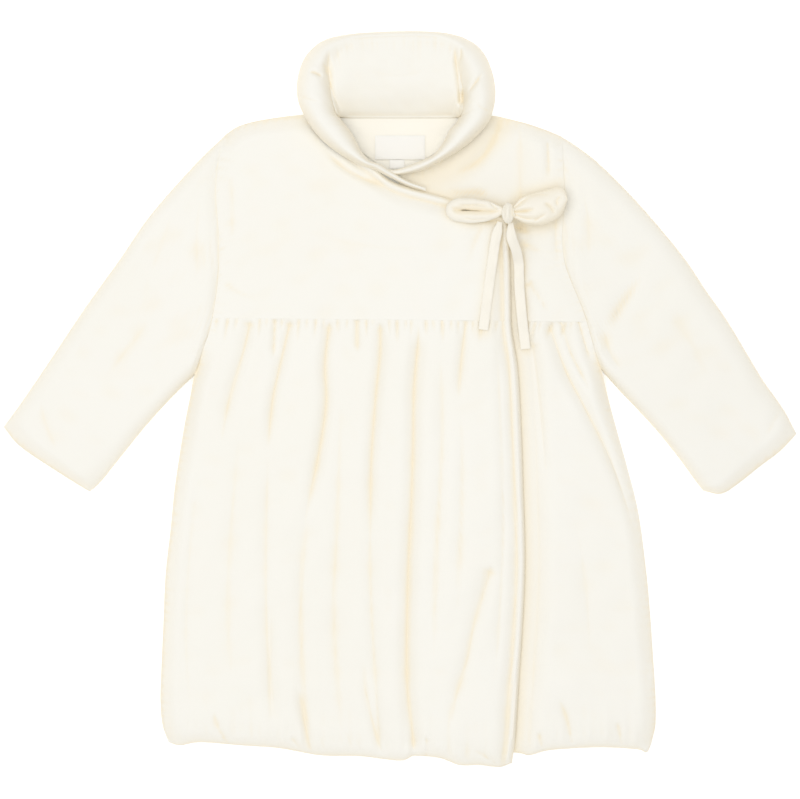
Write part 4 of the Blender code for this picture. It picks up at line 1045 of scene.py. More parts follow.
@dataclass
class FrontPanels:
    """What the two fronts share: how their filling rises from the seams around them."""

    roll_fill: float = 8.8
    roll_width: float = 9.0
    groove_fill: float = 6.2
    groove_run: float = 15.0
    hem_round: float = 13.0
    bubble_rise: float = 2.0
    bubble_height: float = 30.0
    hem_depth: float = 3.0
    least_fill: float = 2.5

    def rolled_rim(self, distance: Grid) -> Grid:
        """The fill of the wrap front beside its rolled edge.

        Args:
            distance: The distance from the edge.

        Returns:
            The fill: the roll, the groove beside it and the panel's body.
        """
        half = 0.5 * self.roll_width
        swell = SEAM_FILL + (self.roll_fill - SEAM_FILL) * round_off(distance / half)
        fall = (self.roll_fill - self.groove_fill) * glide((distance - half) / half)
        body = blend(self.groove_fill, FULL_FILL, ease((distance - self.roll_width) / self.groove_run))
        return np.where(distance < self.roll_width, swell - fall, body)

    def wrap_floor(self, x: Grid, y: Grid, ramp: tuple[float, float] = HIDDEN_RAMP) -> Grid:
        """The underside of the wrap front, lifted where the under front lies beneath it."""
        start, end = ramp
        return FRONT_LEVEL + OVERLAP_RISE * glide((x - HIDDEN_LINE.x_at(y) - start) / (end - start))

    def bubble(self, distance: Grid) -> Grid:
        """The extra swell of the bubble hem at a distance above its edge."""
        share = distance / self.bubble_height
        return self.bubble_rise * glide(share) * glide(3.0 - share)

    def seamed(self, fill: Grid, line: Line, x: Grid, y: Grid) -> Grid:
        """Bring a fill down to a seam, with the seam's puckers.

        Args:
            fill: The fill before.
            line: The seam's line.
            x: The points' x.
            y: The points' y.

        Returns:
            The new fill. At an armhole the cloth stays nearly as high as the sleeve's head.
        """
        distance, along = line.near(x, y)
        edge = SEAM_FILL
        if line in (RIGHT_OUTLINE, LEFT_OUTLINE):
            edge = blend(SEAM_FILL, ARMHOLE_FILL, glide((y - UNDERARM_Y) / ARMHOLE_RISE))
        return blend(edge, fill, ease(distance / PUFF_RUN)) + SEAM_PUCKER.at(distance, along)

    def waisted(self, fill: Grid, x: Grid, y: Grid, low: tuple[float, float]) -> Grid:
        """Bring a fill down to the waist seam.

        Args:
            fill: The fill before.
            x: The points' x.
            y: The points' y.
            low: The fill at the seam and how far from it that reaches.

        Returns:
            The new fill.
        """
        drop = np.abs(waist(x) - y)
        return np.minimum(fill, blend(low[0], np.maximum(fill, low[0]), ease(drop / low[1])))

    def hemmed(self, fill: Grid, hem: Line, x: Grid, y: Grid) -> Grid:
        """Round a fill off to the hem, with the hem's puckers.

        Args:
            fill: The fill before.
            hem: The hem's line.
            x: The points' x.
            y: The points' y.

        Returns:
            The new fill.
        """
        height = y - hem.y_at(x)
        rounded = blend(SEAM_FILL, fill + self.bubble(height), round_off(height / self.hem_round))
        return rounded + HEM_PUCKER.at(np.maximum(height, 0.0), x) * glide(height / self.hem_round)

    def rim_lift(self, distance: Grid, depth: float) -> Grid:
        """How far an underside rises to its rounded edge."""
        return depth * (1.0 - round_off(distance / self.hem_round))

    def quilt(self, name: str, plan: Grid, floor: Grid, fill: Grid, lift: Grid,
              seat: Grid | None = None, shade: Grid | float = 0.0) -> bpy.types.Object:
        """Close a panel over its plan.

        Args:
            name: The piece's name.
            plan: The lattice.
            floor: The level of its underside.
            fill: Its thickness.
            lift: How far its underside rises to its rounded edges.
            seat: The level that its outer skin is measured from, where that isn't the underside's.
            shade: The painted shade that its outer skin holds beside a layer that lies over it.

        Returns:
            The new object.
        """
        seat = floor if seat is None else seat
        fill = np.maximum(fill, SEAM_FILL)
        lift = np.minimum(lift, 0.5 * fill)
        outer = np.dstack([plan, np.maximum(seat + fill, floor + lift + SEAM_FILL)])
        inner = np.dstack([plan, floor + lift])
        return closed_quilt(name, outer, inner, plan, shade=shade)


@dataclass
class WrapFront(FrontPanels):
    """The wrap front: its bodice and its gathered skirt, with the rolled edge on both."""

    skirt_cells: int = 26
    skirt_rows: int = 170
    bodice_lattice: tuple[int, int] = (104, 72)
    edge_lift: float = 0.8
    fold_start: float = 6.0

    def rimmed(self, x: Grid, y: Grid) -> tuple[Grid, Grid]:
        """Fill a panel from its rolled edge to its side.

        Args:
            x: The points' x.
            y: The points' y.

        Returns:
            The distance to the rolled edge, and the fill.
        """
        rim, along = WRAP_RIM.near(x, y)
        fill = self.rolled_rim(rim) + RIM_PUCKER.at(rim, along)
        fill += down_relief(x, y) * ease(rim / PUFF_RUN)
        return rim, self.seamed(fill, RIGHT_OUTLINE, x, y)

    def edge_rise(self, rim: Grid) -> Grid:
        """How far the underside rises to the rolled edge."""
        return self.rim_lift(rim * 2.0, self.edge_lift)

    def wrapped(self, name: str, plan: Grid, fill: Grid, lift: Grid) -> bpy.types.Object:
        """Close a panel of the wrap front over the under front.

        Args:
            name: The piece's name.
            plan: The lattice.
            fill: Its thickness.
            lift: How far its underside rises to its rounded edges.

        Returns:
            The new object.
        """
        x, y = plan[..., 0], plan[..., 1]
        seat = self.wrap_floor(x, y, HIDDEN_SPREAD)
        # The cloth beside and under the tie gets painted shade.
        return self.quilt(name, plan, self.wrap_floor(x, y), fill, lift, seat, painted_shade_by_tie(x, y))

    def skirt(self) -> bpy.types.Object:
        """Make the gathered skirt panel with its falls and its bubble hem.

        Returns:
            The new object.
        """
        lines = [RIGHT_OUTLINE, *map(Line, WRAP_SKIRT_LINES), WRAP_LINE]
        plan = skirt_lattice(lines, WRAP_HEM_LINE, self.skirt_cells, self.skirt_rows)
        x, y = plan[..., 0], plan[..., 1]
        rim, fill = self.rimmed(x, y)
        fill = self.waisted(fill, x, y, SKIRT_WAIST)
        fill -= (all_folds(WRAP_SKIRT_FOLDS, x, y) + gathers_at(x, y)) * glide(rim / self.fold_start)
        fill = self.hemmed(np.maximum(fill, self.least_fill), WRAP_HEM_LINE, x, y)
        height = y - WRAP_HEM_LINE.y_at(x)
        lift = np.maximum(self.rim_lift(height, self.hem_depth), self.edge_rise(rim))
        return self.wrapped("wrap_skirt", plan, fill, lift)

    def bodice(self) -> bpy.types.Object:
        """Make the smooth bodice panel with its rolled neck edge.

        Returns:
            The new object.
        """
        foot = waist_foot(RIGHT_OUTLINE, WRAP_LINE, (-187, -40, 111))
        head = Line(RIGHT_SHOULDER + WRAP_NECKLINE[1:])
        right = clipped(RIGHT_ARMHOLE, foot.at(0.0)[1], RIGHT_ARMHOLE[0][1])
        left = clipped(WRAP_EDGE, foot.at(1.0)[1], WRAP_EDGE[0][1])
        plan = patch(foot, head, right, left, *map(closer_ends, self.bodice_lattice))
        x, y = plan[..., 0], plan[..., 1]
        rim, fill = self.rimmed(x, y)
        fill = self.seamed(fill, RIGHT_SHOULDER_LINE, x, y)
        fill = self.waisted(fill, x, y, BODICE_WAIST)
        fill -= all_folds(WRAP_BODICE_FOLDS, x, y) * glide(rim / self.fold_start)
        return self.wrapped("wrap_bodice", plan, fill, self.edge_rise(rim))


@dataclass
class UnderFront(FrontPanels):
    """The under front, which the wrap front hides for a hand's width."""

    skirt_cells: int = 28
    skirt_rows: int = 150
    bodice_lattice: tuple[int, int] = (70, 72)
    nestle: float = 0.6
    nestle_reach: float = 4.0
    # Painted shade beside the wrap front's rolled edge and beside the collar's roll, and how far each
    # reaches.
    edge_shade: float = 1.2
    edge_reach: float = 6.0
    roll_shade: float = 0.7
    roll_reach: tuple[float, float] = (16.0, 26.0)
    hidden_slack: float = 0.5

    def painted_shade_by_edge(self, x: Grid, y: Grid) -> Grid:
        """The painted shade beside the wrap front's rolled edge, and under and beside the tie."""
        edge = self.edge_shade * np.exp(-WRAP_RIM.away(x, y) / self.edge_reach)
        return np.maximum(edge, painted_shade_by_tie(x, y))

    def painted_shade_by_roll(self, x: Grid, y: Grid) -> Grid:
        """The painted shade on the cloth beside the collar's roll."""
        past = UNDER_NECK_LINE.away(x, y) - self.roll_reach[0]
        return self.roll_shade * (1.0 - glide(past / self.roll_reach[1]))

    def shown_fill(self, x: Grid, y: Grid) -> Grid:
        """The fill of the under front, fuller where the wrap front leaves it clear.

        Args:
            x: The points' x.
            y: The points' y.

        Returns:
            The fill, in millimetres.
        """
        clear = ease((x - WRAP_LINE.x_at(y) - CLEAR_START) / PUFF_RUN)
        relief = down_relief(x, y) * clear
        nestle = self.nestle * np.exp(-(WRAP_RIM.away(x, y) / self.nestle_reach) ** 2)
        return blend(UNDER_HIDDEN_FILL - self.hidden_slack, FULL_FILL, clear) + relief + nestle

    def skirt(self) -> bpy.types.Object:
        """Make the skirt panel, gathered where it shows.

        Returns:
            The new object.
        """
        lines = [HIDDEN_LINE, *map(Line, UNDER_SKIRT_LINES), LEFT_OUTLINE]
        plan = skirt_lattice(lines, UNDER_HEM_LINE, self.skirt_cells, self.skirt_rows)
        x, y = plan[..., 0], plan[..., 1]
        shown = glide((x - WRAP_LINE.x_at(y)) / PUFF_RUN)
        fill = self.shown_fill(x, y)
        fill = self.seamed(fill, LEFT_OUTLINE, x, y)
        fill = blend(SEAM_FILL, fill, ease((x - HIDDEN_LINE.x_at(y)) / PUFF_RUN))
        fill = self.waisted(fill, x, y, SKIRT_WAIST)
        fill -= (all_folds(UNDER_SKIRT_FOLDS, x, y) + gathers_at(x, y)) * shown
        height = y - UNDER_HEM_LINE.y_at(x)
        rounded = self.hemmed(np.maximum(fill, self.least_fill), UNDER_HEM_LINE, x, y)
        plain = blend(SEAM_FILL, fill, round_off(height / self.hem_round))
        fill = blend(plain, rounded, shown)
        floor = np.full(x.shape, FRONT_LEVEL)
        lift = self.rim_lift(height, self.hem_depth)
        return self.quilt("under_skirt", plan, floor, fill, lift, shade=self.painted_shade_by_edge(x, y))

    def bodice(self) -> bpy.types.Object:
        """Make the bodice panel.

        Returns:
            The new object.
        """
        foot = waist_foot(HIDDEN_LINE, LEFT_OUTLINE, (15, 100, 186))
        head = Line(UNDER_NECKLINE + LEFT_SHOULDER[1:])
        right = clipped(HIDDEN_EDGE, foot.at(0.0)[1], HIDDEN_EDGE[0][1])
        left = clipped(LEFT_ARMHOLE, foot.at(1.0)[1], LEFT_ARMHOLE[0][1])
        plan = patch(foot, head, right, left, *map(closer_ends, self.bodice_lattice))
        x, y = plan[..., 0], plan[..., 1]
        fill = self.shown_fill(x, y)
        for line in (LEFT_OUTLINE, LEFT_SHOULDER_LINE, UNDER_NECK_LINE):
            fill = self.seamed(fill, line, x, y)
        fill = blend(SEAM_FILL, fill, ease((x - HIDDEN_LINE.x_at(y)) / PUFF_RUN))
        shown = glide((x - WRAP_LINE.x_at(y)) / PUFF_RUN)
        above = glide((y - WRAP_RIM.y_at(x)) / PUFF_RUN)
        fill = self.waisted(fill, x, y, BODICE_WAIST)
        fill -= all_folds(UNDER_BODICE_FOLDS, x, y) * np.maximum(shown, above)
        floor = np.full(x.shape, FRONT_LEVEL)
        # Painted shade beside the wrap's edge, the tie and the collar's roll.
        shade = np.maximum(self.painted_shade_by_edge(x, y), self.painted_shade_by_roll(x, y))
        return self.quilt("under_bodice", plan, floor, fill, np.zeros(x.shape), shade=shade)


@dataclass
class BackPanels:
    """The back bodice and the back skirt, flat where they rest but for their rounded edges."""

    edge: float = 2.6
    bodice_lattice: tuple[int, int] = (80, 56)
    skirt_cells: int = 34
    skirt_rows: int = 96

    def lifted(self, distance: Grid, along: Grid) -> Grid:
        """The underside at a distance from an edge, with the seam's puckers."""
        rise = (BACK_LEVEL - self.edge) * (1.0 - round_off(distance / PUFF_RUN))
        return np.maximum(rise + SEAM_PUCKER.at(distance, along) * ease(rise), 0.0)

    def close(self, name: str, plan: Grid, lines: Sequence[Line]) -> bpy.types.Object:
        """Close a back panel.

        Args:
            name: The piece's name.
            plan: The lattice.
            lines: The lines of its edges.

        Returns:
            The new object.
        """
        x, y = plan[..., 0], plan[..., 1]
        places = [line.near(x, y) for line in lines]
        nearest = np.argmin(np.stack([place[0] for place in places]), axis=0)
        distance = np.choose(nearest, [place[0] for place in places])
        along = np.choose(nearest, [place[1] for place in places])
        lift = self.lifted(distance, along)
        outer = np.dstack([plan, np.full(x.shape, BACK_LEVEL)])
        inner = np.dstack([plan, lift])
        return closed_quilt(name, outer, inner, plan)

    def bodice(self) -> bpy.types.Object:
        """Make the bodice panel.

        Returns:
            The new object.
        """
        shoulders = Line(RIGHT_SHOULDER + BACK_NECKLINE[1:] + LEFT_SHOULDER[1:])
        foot = waist_foot(RIGHT_OUTLINE, LEFT_OUTLINE, (-187, 0, 186))
        right = clipped(RIGHT_ARMHOLE, foot.at(0.0)[1], RIGHT_ARMHOLE[0][1])
        left = clipped(LEFT_ARMHOLE, foot.at(1.0)[1], LEFT_ARMHOLE[0][1])
        plan = patch(foot, shoulders, right, left, *map(closer_ends, self.bodice_lattice))
        return self.close("back_bodice_quilt", plan, (RIGHT_OUTLINE, LEFT_OUTLINE, shoulders))

    def skirt(self) -> bpy.types.Object:
        """Make the skirt panel.

        Returns:
            The new object.
        """
        lines = [RIGHT_OUTLINE, *map(Line, BACK_SKIRT_LINES), LEFT_OUTLINE]
        plan = skirt_lattice(lines, BACK_HEM_LINE, self.skirt_cells, self.skirt_rows)
        return self.close("back_skirt_quilt", plan, (RIGHT_OUTLINE, LEFT_OUTLINE, BACK_HEM_LINE))


@dataclass
class Sleeve:
    """A sleeve laid flat: a padded tube, closed by its own weight and open at the cuff.

    middle is the level of its two side edges, and rise the height of its top above that.
    """

    name: str
    outer_edge: tuple
    inner_edge: tuple
    armhole: tuple
    cuff: tuple
    folds: tuple
    outward: float
    middle: float = 9.25
    rise: float = 13.5
    head_share: float = 0.77
    cuff_share: float = 0.24
    round_top: float = 24.0
    round_under: float = 15.0
    wall: float = 6.0
    slit: float = 0.7
    mouth: float = 2.4
    mouth_run: float = 26.0
    mouth_round: float = 14.0
    head_fall: float = 17.0
    cuff_fall: float = 15.0
    under_share: float = 0.35
    relief_run: float = 20.0
    relief_shift: float = 300.0
    half_cells: int = 44
    rows: int = 110

    def build(self) -> bpy.types.Object:
        """Make the sleeve as one closed ring of quilt.

        Returns:
            The new object.
        """
        armhole = Line([(x + self.outward * ARMHOLE_GAP, y) for x, y in self.armhole])
        half = closer_ends(self.half_cells + 1, 0.7)
        along = closer_ends(self.rows, 0.3)
        turn = np.concatenate([half, half[-2:0:-1]])
        upper = np.concatenate([np.ones(len(half)), -np.ones(len(half) - 2)])
        outer_line, inner_line, cuff = Line(self.outer_edge), Line(self.inner_edge), Line(self.cuff)
        plan = patch(outer_line, inner_line, armhole, cuff, along, turn).transpose(1, 0, 2)
        width = blend(armhole.length, cuff.length, along)[:, None]
        length = 0.5 * (outer_line.length + inner_line.length)
        edge = np.minimum(turn, 1.0 - turn)[None, :] * width
        end = (np.minimum(along, 1.0 - along) * length)[:, None]
        x, y = plan[..., 0], plan[..., 1]
        from_head, head_run = armhole.near(x, y)
        puckers = SEAM_PUCKER.at(from_head, head_run)
        cuff_gap, cuff_run = cuff.near(x, y)
        puckers += RIM_PUCKER.at(cuff_gap, cuff_run)
        head = blend(self.head_share, 1.0, ease(along[:, None] * length / self.head_fall))
        tail = blend(self.cuff_share, 1.0, ease((1.0 - along[:, None]) * length / self.cuff_fall))
        relief = down_relief(x + self.relief_shift, y) * ease(end / self.relief_run)
        rise = self.rise * np.minimum(head, tail) - all_folds(self.folds, x, y) + relief
        top = (rise + puckers) * round_off(edge / self.round_top)
        under_share = blend(self.under_share, 1.0, round_off(end / self.cuff_fall))
        under = self.middle * under_share * round_off(edge / self.round_under)
        level = self.middle + np.where(upper > 0, np.maximum(top, 0.0), -under)
        outer = np.dstack([x, y, level])
        inset = self.wall / width
        lining_turn = inset + turn[None, :] * (1.0 - 2.0 * inset)
        lining = np.stack([patch(outer_line, inner_line, armhole, cuff, along, lining_turn[row])[:, row]
                           for row in range(len(along))])
        open_end = (1.0 - along)[:, None] * length
        gape = blend(self.mouth, self.slit, glide(open_end / self.mouth_run))
        gape = np.maximum(gape * round_off(edge / self.mouth_round), 0.0)
        inner = np.dstack([lining[..., 0], lining[..., 1], self.middle + upper * gape])
        around = np.cumsum(np.concatenate([[0.0], np.abs(np.diff(turn))])) * armhole.length
        flat = np.dstack(np.meshgrid(around, along * length))
        return closed_quilt(self.name, outer, inner, flat, ring=True)


RIGHT_SLEEVE = Sleeve(
    name="right_sleeve_quilt",
    outer_edge=((-176.5, 264), (-207, 234), (-251, 184), (-282, 139), (-315, 93), (-345, 48),
                (-376, 2), (-397.5, -28)),
    inner_edge=((-206.5, 24), (-220, 11), (-240, -10), (-260, -33), (-280, -58), (-300, -83),
                (-311, -93)),
    armhole=RIGHT_ARMHOLE,
    cuff=((-397.5, -28), (-380, -48), (-340, -75), (-311, -93)),
    folds=RIGHT_SLEEVE_FOLDS,
    outward=-1.0,
)
LEFT_SLEEVE = Sleeve(
    name="left_sleeve_quilt",
    outer_edge=((162.5, 263), (181, 251), (201, 235), (233, 203), (263, 169), (287, 139), (307, 109),
                (328, 79), (346, 49), (364, 19), (385, -11), (397.5, -35)),
    inner_edge=((202.5, 28), (220, 8), (240, -13), (260, -35), (280, -60), (296, -82), (304, -92)),
    armhole=LEFT_ARMHOLE,
    cuff=((397.5, -35), (380, -53), (360, -68), (340, -84), (322, -95), (304, -92)),
    folds=LEFT_SLEEVE_FOLDS,
    outward=1.0,
)


@dataclass(frozen=True)
class CollarStation:
    """One section of the collar, from its outer edge to its neck edge.

    The roll is wide millimetres across and high at its crown; it falls to foot, and the inner face
    runs on to neck. low is the underside. soft is 0 for a round roll and 1 for a gentle slope.
    """

    outer: Point
    inner: Point
    wide: float
    high: float
    foot: float
    neck: float
    low: float
    soft: float


@dataclass
class Collar:
    """The tall collar, folded outwards all round and crossed at the front."""

    edge_level: float = 17.0
    edge_wall: float = 1.2
    crown: float = 0.42
    puff: float = 2.8
    edge_top: float = 36.0
    fall_power: float = 2.4
    face_least: float = 6.0
    end_share: float = 0.03
    end_wall: float = 4.0
    calm: tuple[float, float] = (8.0, 5.0)
    relief_height: float = 0.7
    relief_scale: float = 1.6
    ripple: float = 1.6
    under_round: tuple[float, float] = (14.0, 6.0)
    raised_level: float = 20.0
    rows: int = 420
    columns: int = 76
    stations: tuple[CollarStation, ...] = (
        CollarStation((26, 207.4), (26, 211), 4, 29.5, 26, 26, 22.8, 0.0),
        CollarStation((6, 213.6), (6, 218.5), 5, 32, 27, 27, 22.8, 0.0),
        CollarStation((-12, 222.4), (-12, 229), 7, 35, 28, 28, 22.8, 0.0),
        CollarStation((-26, 229), (-19, 234), 9, 39, 27, 27, 24.5, 0.0),
        CollarStation((-38, 233), (-30, 238), 15, 44, 26, 26, 24, 0.0),
        CollarStation((-54, 241), (-38, 247), 20, 46, 24, 24, 22.8, 0.0),
        CollarStation((-69, 251), (-43, 256), 28, 47, 24, 24, 22.8, 0.0),
        CollarStation((-82, 263), (-49, 267), 34, 48.5, 23, 23, 22.8, 0.0),
        CollarStation((-94, 280), (-57, 277), 38, 50, 24, 22, 22.8, 0.0),
        CollarStation((-102, 298), (-60, 281.5), 43, 50, 26, 19, 14, 0.0),
        CollarStation((-103, 318), (-60, 282), 50, 49.5, 30, 17, 4, 0.1),
        CollarStation((-97, 339), (-59, 282), 54, 48, 33, 15, 0, 0.3),
        CollarStation((-86, 352.5), (-58, 281.8), 44, 44, 35, 14, 0, 0.6),
        CollarStation((-72, 360.5), (-53, 281.6), 26, 40, 36, 13.5, 0, 1.0),
        CollarStation((-50, 365), (-40, 281.6), 14, 37.5, 36, 13.5, 0, 1.0),
        CollarStation((-20, 367.2), (-16, 281.6), 13, 37, 35.5, 13.5, 0, 1.0),
        CollarStation((12, 368), (12, 281.6), 13, 37, 35.5, 13.5, 0, 1.0),
        CollarStation((40, 366.8), (38, 281.6), 14, 37.5, 36, 13.5, 0, 1.0),
        CollarStation((56, 364), (51, 281.6), 22, 39, 36, 13.5, 0, 1.0),
        CollarStation((66, 360.5), (55, 281.8), 40, 42.5, 34, 14, 0, 0.7),
        CollarStation((78, 353), (58, 282), 54, 46, 32, 15, 0, 0.4),
        CollarStation((88, 339), (59, 282), 56, 48.5, 31, 16, 0, 0.2),
        CollarStation((94.5, 318), (59.5, 282), 48, 50, 29, 18, 4, 0.1),
        CollarStation((95, 298), (59, 281.5), 38, 50, 26, 20, 14, 0.0),
        CollarStation((89, 278), (57, 277), 33, 50, 24, 22, 22.8, 0.0),
        CollarStation((76, 262), (49, 268), 28, 48, 23, 23, 22.8, 0.0),
        CollarStation((60, 249), (43, 256), 19, 45, 23, 23, 22.8, 0.0),
        CollarStation((40, 237), (33, 244), 10, 41, 23, 23, 22.8, 0.0),
        CollarStation((20, 227.5), (18, 237), 10, 36, 23, 23, 22.8, 0.0),
        CollarStation((-2, 223.5), (-3, 229.5), 6, 29, 23, 23, 22.8, 0.0),
        CollarStation((-16, 224.5), (-16, 229.5), 5, 27, 23, 23, 21.5, 0.0),
    )
    pinches: tuple[Fold, ...] = (
        Fold("right inner line", ((-69, 352), (-71, 340), (-71.5, 328), (-69.5, 314), (-65, 300),
                                  (-58, 286)), 3.6, 3.0, 0.3, 0.2),
        Fold("right corner crease", ((-77, 336), (-73.5, 329), (-72, 321)), 2.8, 2.2, 0.4, 0.4),
        Fold("right side crease", ((-92, 326), (-84, 324), (-76, 320)), 3.2, 2.6, 0.4, 0.3),
        Fold("right dimple", ((-98, 344), (-94, 340), (-91, 336)), 2.4, 2.4, 0.4, 0.4),
        Fold("left inner line", ((54, 354), (55, 342), (57, 326), (58.5, 310), (60, 298), (58, 286)),
             3.6, 2.8, 0.3, 0.2),
        Fold("left pinch near", ((60.5, 352), (60.5, 343), (59.5, 334)), 2.8, 2.0, 0.4, 0.4),
        Fold("left pocket", ((62, 311), (62.5, 301), (60, 291)), 8.0, 3.8, 0.4, 0.4),
        Fold("left side crease", ((66, 303), (74, 313), (84, 327)), 3.4, 2.6, 0.3, 0.5),
        Fold("rim line", ((-58, 357.5), (-20, 360.5), (20, 361), (48, 359)), 1.6, 3.0, 0.15, 0.15),
        Fold("neck seam", ((-54, 284), (-20, 283.4), (20, 283.4), (54, 284)), 1.2, 2.5, 0.05, 0.05),
        Fold("roll tuck right", ((-100, 302), (-88, 297), (-76, 296)), 1.5, 4.0, 0.2, 0.6),
        Fold("roll tuck left", ((90, 286), (80, 290), (72, 297)), 1.5, 4.0, 0.2, 0.6),
        Fold("face drift", ((-40, 330), (0, 322), (40, 334)), 1.0, 12.0, 0.4, 0.4),
    )

    def build(self) -> bpy.types.Object:
        """Make the collar as one closed quilt, swept round the neck.

        Returns:
            The new object.
        """
        outer_line = Line([(*one.outer, one.wide, one.high) for one in self.stations])
        inner_line = Line([(*one.inner, one.foot, one.neck) for one in self.stations])
        rest_line = Line([(*one.inner, one.low, one.soft) for one in self.stations])
        ranks = np.linspace(0.0, 1.0, len(outer_line.points))
        along = closer_ends(self.rows, 0.15)
        rows = {}
        for name, line in (("outer", outer_line), ("inner", inner_line), ("rest", rest_line)):
            rows[name] = np.stack([np.interp(along, ranks, column) for column in line.points.T], axis=-1)
        across = closer_ends(self.columns, 0.5)[None, :]
        start, stop = rows["outer"][:, None, :2], rows["inner"][:, None, :2]
        plan = start + (stop - start) * across[..., None]
        x, y = plan[..., 0], plan[..., 1]
        width = np.linalg.norm(stop - start, axis=-1)
        wide = np.minimum(rows["outer"][:, None, 2], width)
        high, foot, neck = rows["outer"][:, None, 3], rows["inner"][:, None, 2], rows["inner"][:, None, 3]
        low, soft = np.maximum(rows["rest"][:, None, 2], 0.0), rows["rest"][:, None, 3]
        distance = across * width
        share = np.clip(distance / wide, 0.0, 1.0)
        edge = np.clip(0.5 * (low + foot), self.edge_level, self.edge_top)
        rise = blend(edge, high, round_off(share / self.crown))
        past = np.clip((share - self.crown) / (1.0 - self.crown), 0.0, 1.0)
        round_fall = 1.0 - np.sqrt(np.maximum(1.0 - past ** self.fall_power, 0.0))
        fall = blend(round_fall, glide(past), soft)
        inward = np.clip((distance - wide) / np.maximum(width - wide, self.face_least), 0.0, 1.0)
        face = blend(foot, neck, inward ** self.puff)
        upper = np.where(share < self.crown, rise, blend(high, face, fall))
        end = round_off(np.minimum(along, 1.0 - along)[:, None] / self.end_share)
        upper = blend(np.minimum(upper, low + self.end_wall), upper, end)
        inside = ease(distance / self.calm[0]) * ease((width - distance) / self.calm[1])
        upper -= all_folds(self.pinches, x, y) * inside
        upper += self.relief_height * down_relief(x * self.relief_scale, y * self.relief_scale) * inside
        run = np.cumsum(np.concatenate([[0.0], np.linalg.norm(np.diff(plan[:, 0], axis=0), axis=1)]))
        ripple = RIM_PUCKER.at(np.abs(distance - wide) + 1.0, np.broadcast_to(run[:, None], x.shape))
        upper += self.ripple * ripple * inside
        near_rim = round_off(distance / self.under_round[0])
        near_neck = round_off((width - distance) / self.under_round[1])
        lower = blend(edge - self.edge_wall, low, near_rim)
        hold = np.minimum(neck, foot) - self.edge_wall
        raised = blend(np.maximum(hold, low), lower, near_neck)
        lower = np.where(low < self.raised_level, lower, raised)
        upper = np.maximum(upper, lower + self.edge_wall)
        flat = np.dstack([np.broadcast_to(distance, x.shape), np.broadcast_to(run[:, None], x.shape)])
        return closed_quilt("collar", np.dstack([x, y, upper]), np.dstack([x, y, lower]), flat)


def warmed(piece: bpy.types.Object, share: Grid | float) -> bpy.types.Object:
    """Add a share of the crease attribute's warm tint to a piece.

    Args:
        piece: The piece.
        share: The share to add, one for the whole piece or one for each point.

    Returns:
        The same piece.
    """
    crease = piece.data.attributes["crease"].data
    values = np.empty(len(crease), dtype=np.float32)
    crease.foreach_get("value", values)
    crease.foreach_set("value", np.clip(values + share, 0.0, 1.0))
    return piece


# The share of a route's length between a point and the ones that give its heading.
LOOK_AHEAD = 0.004


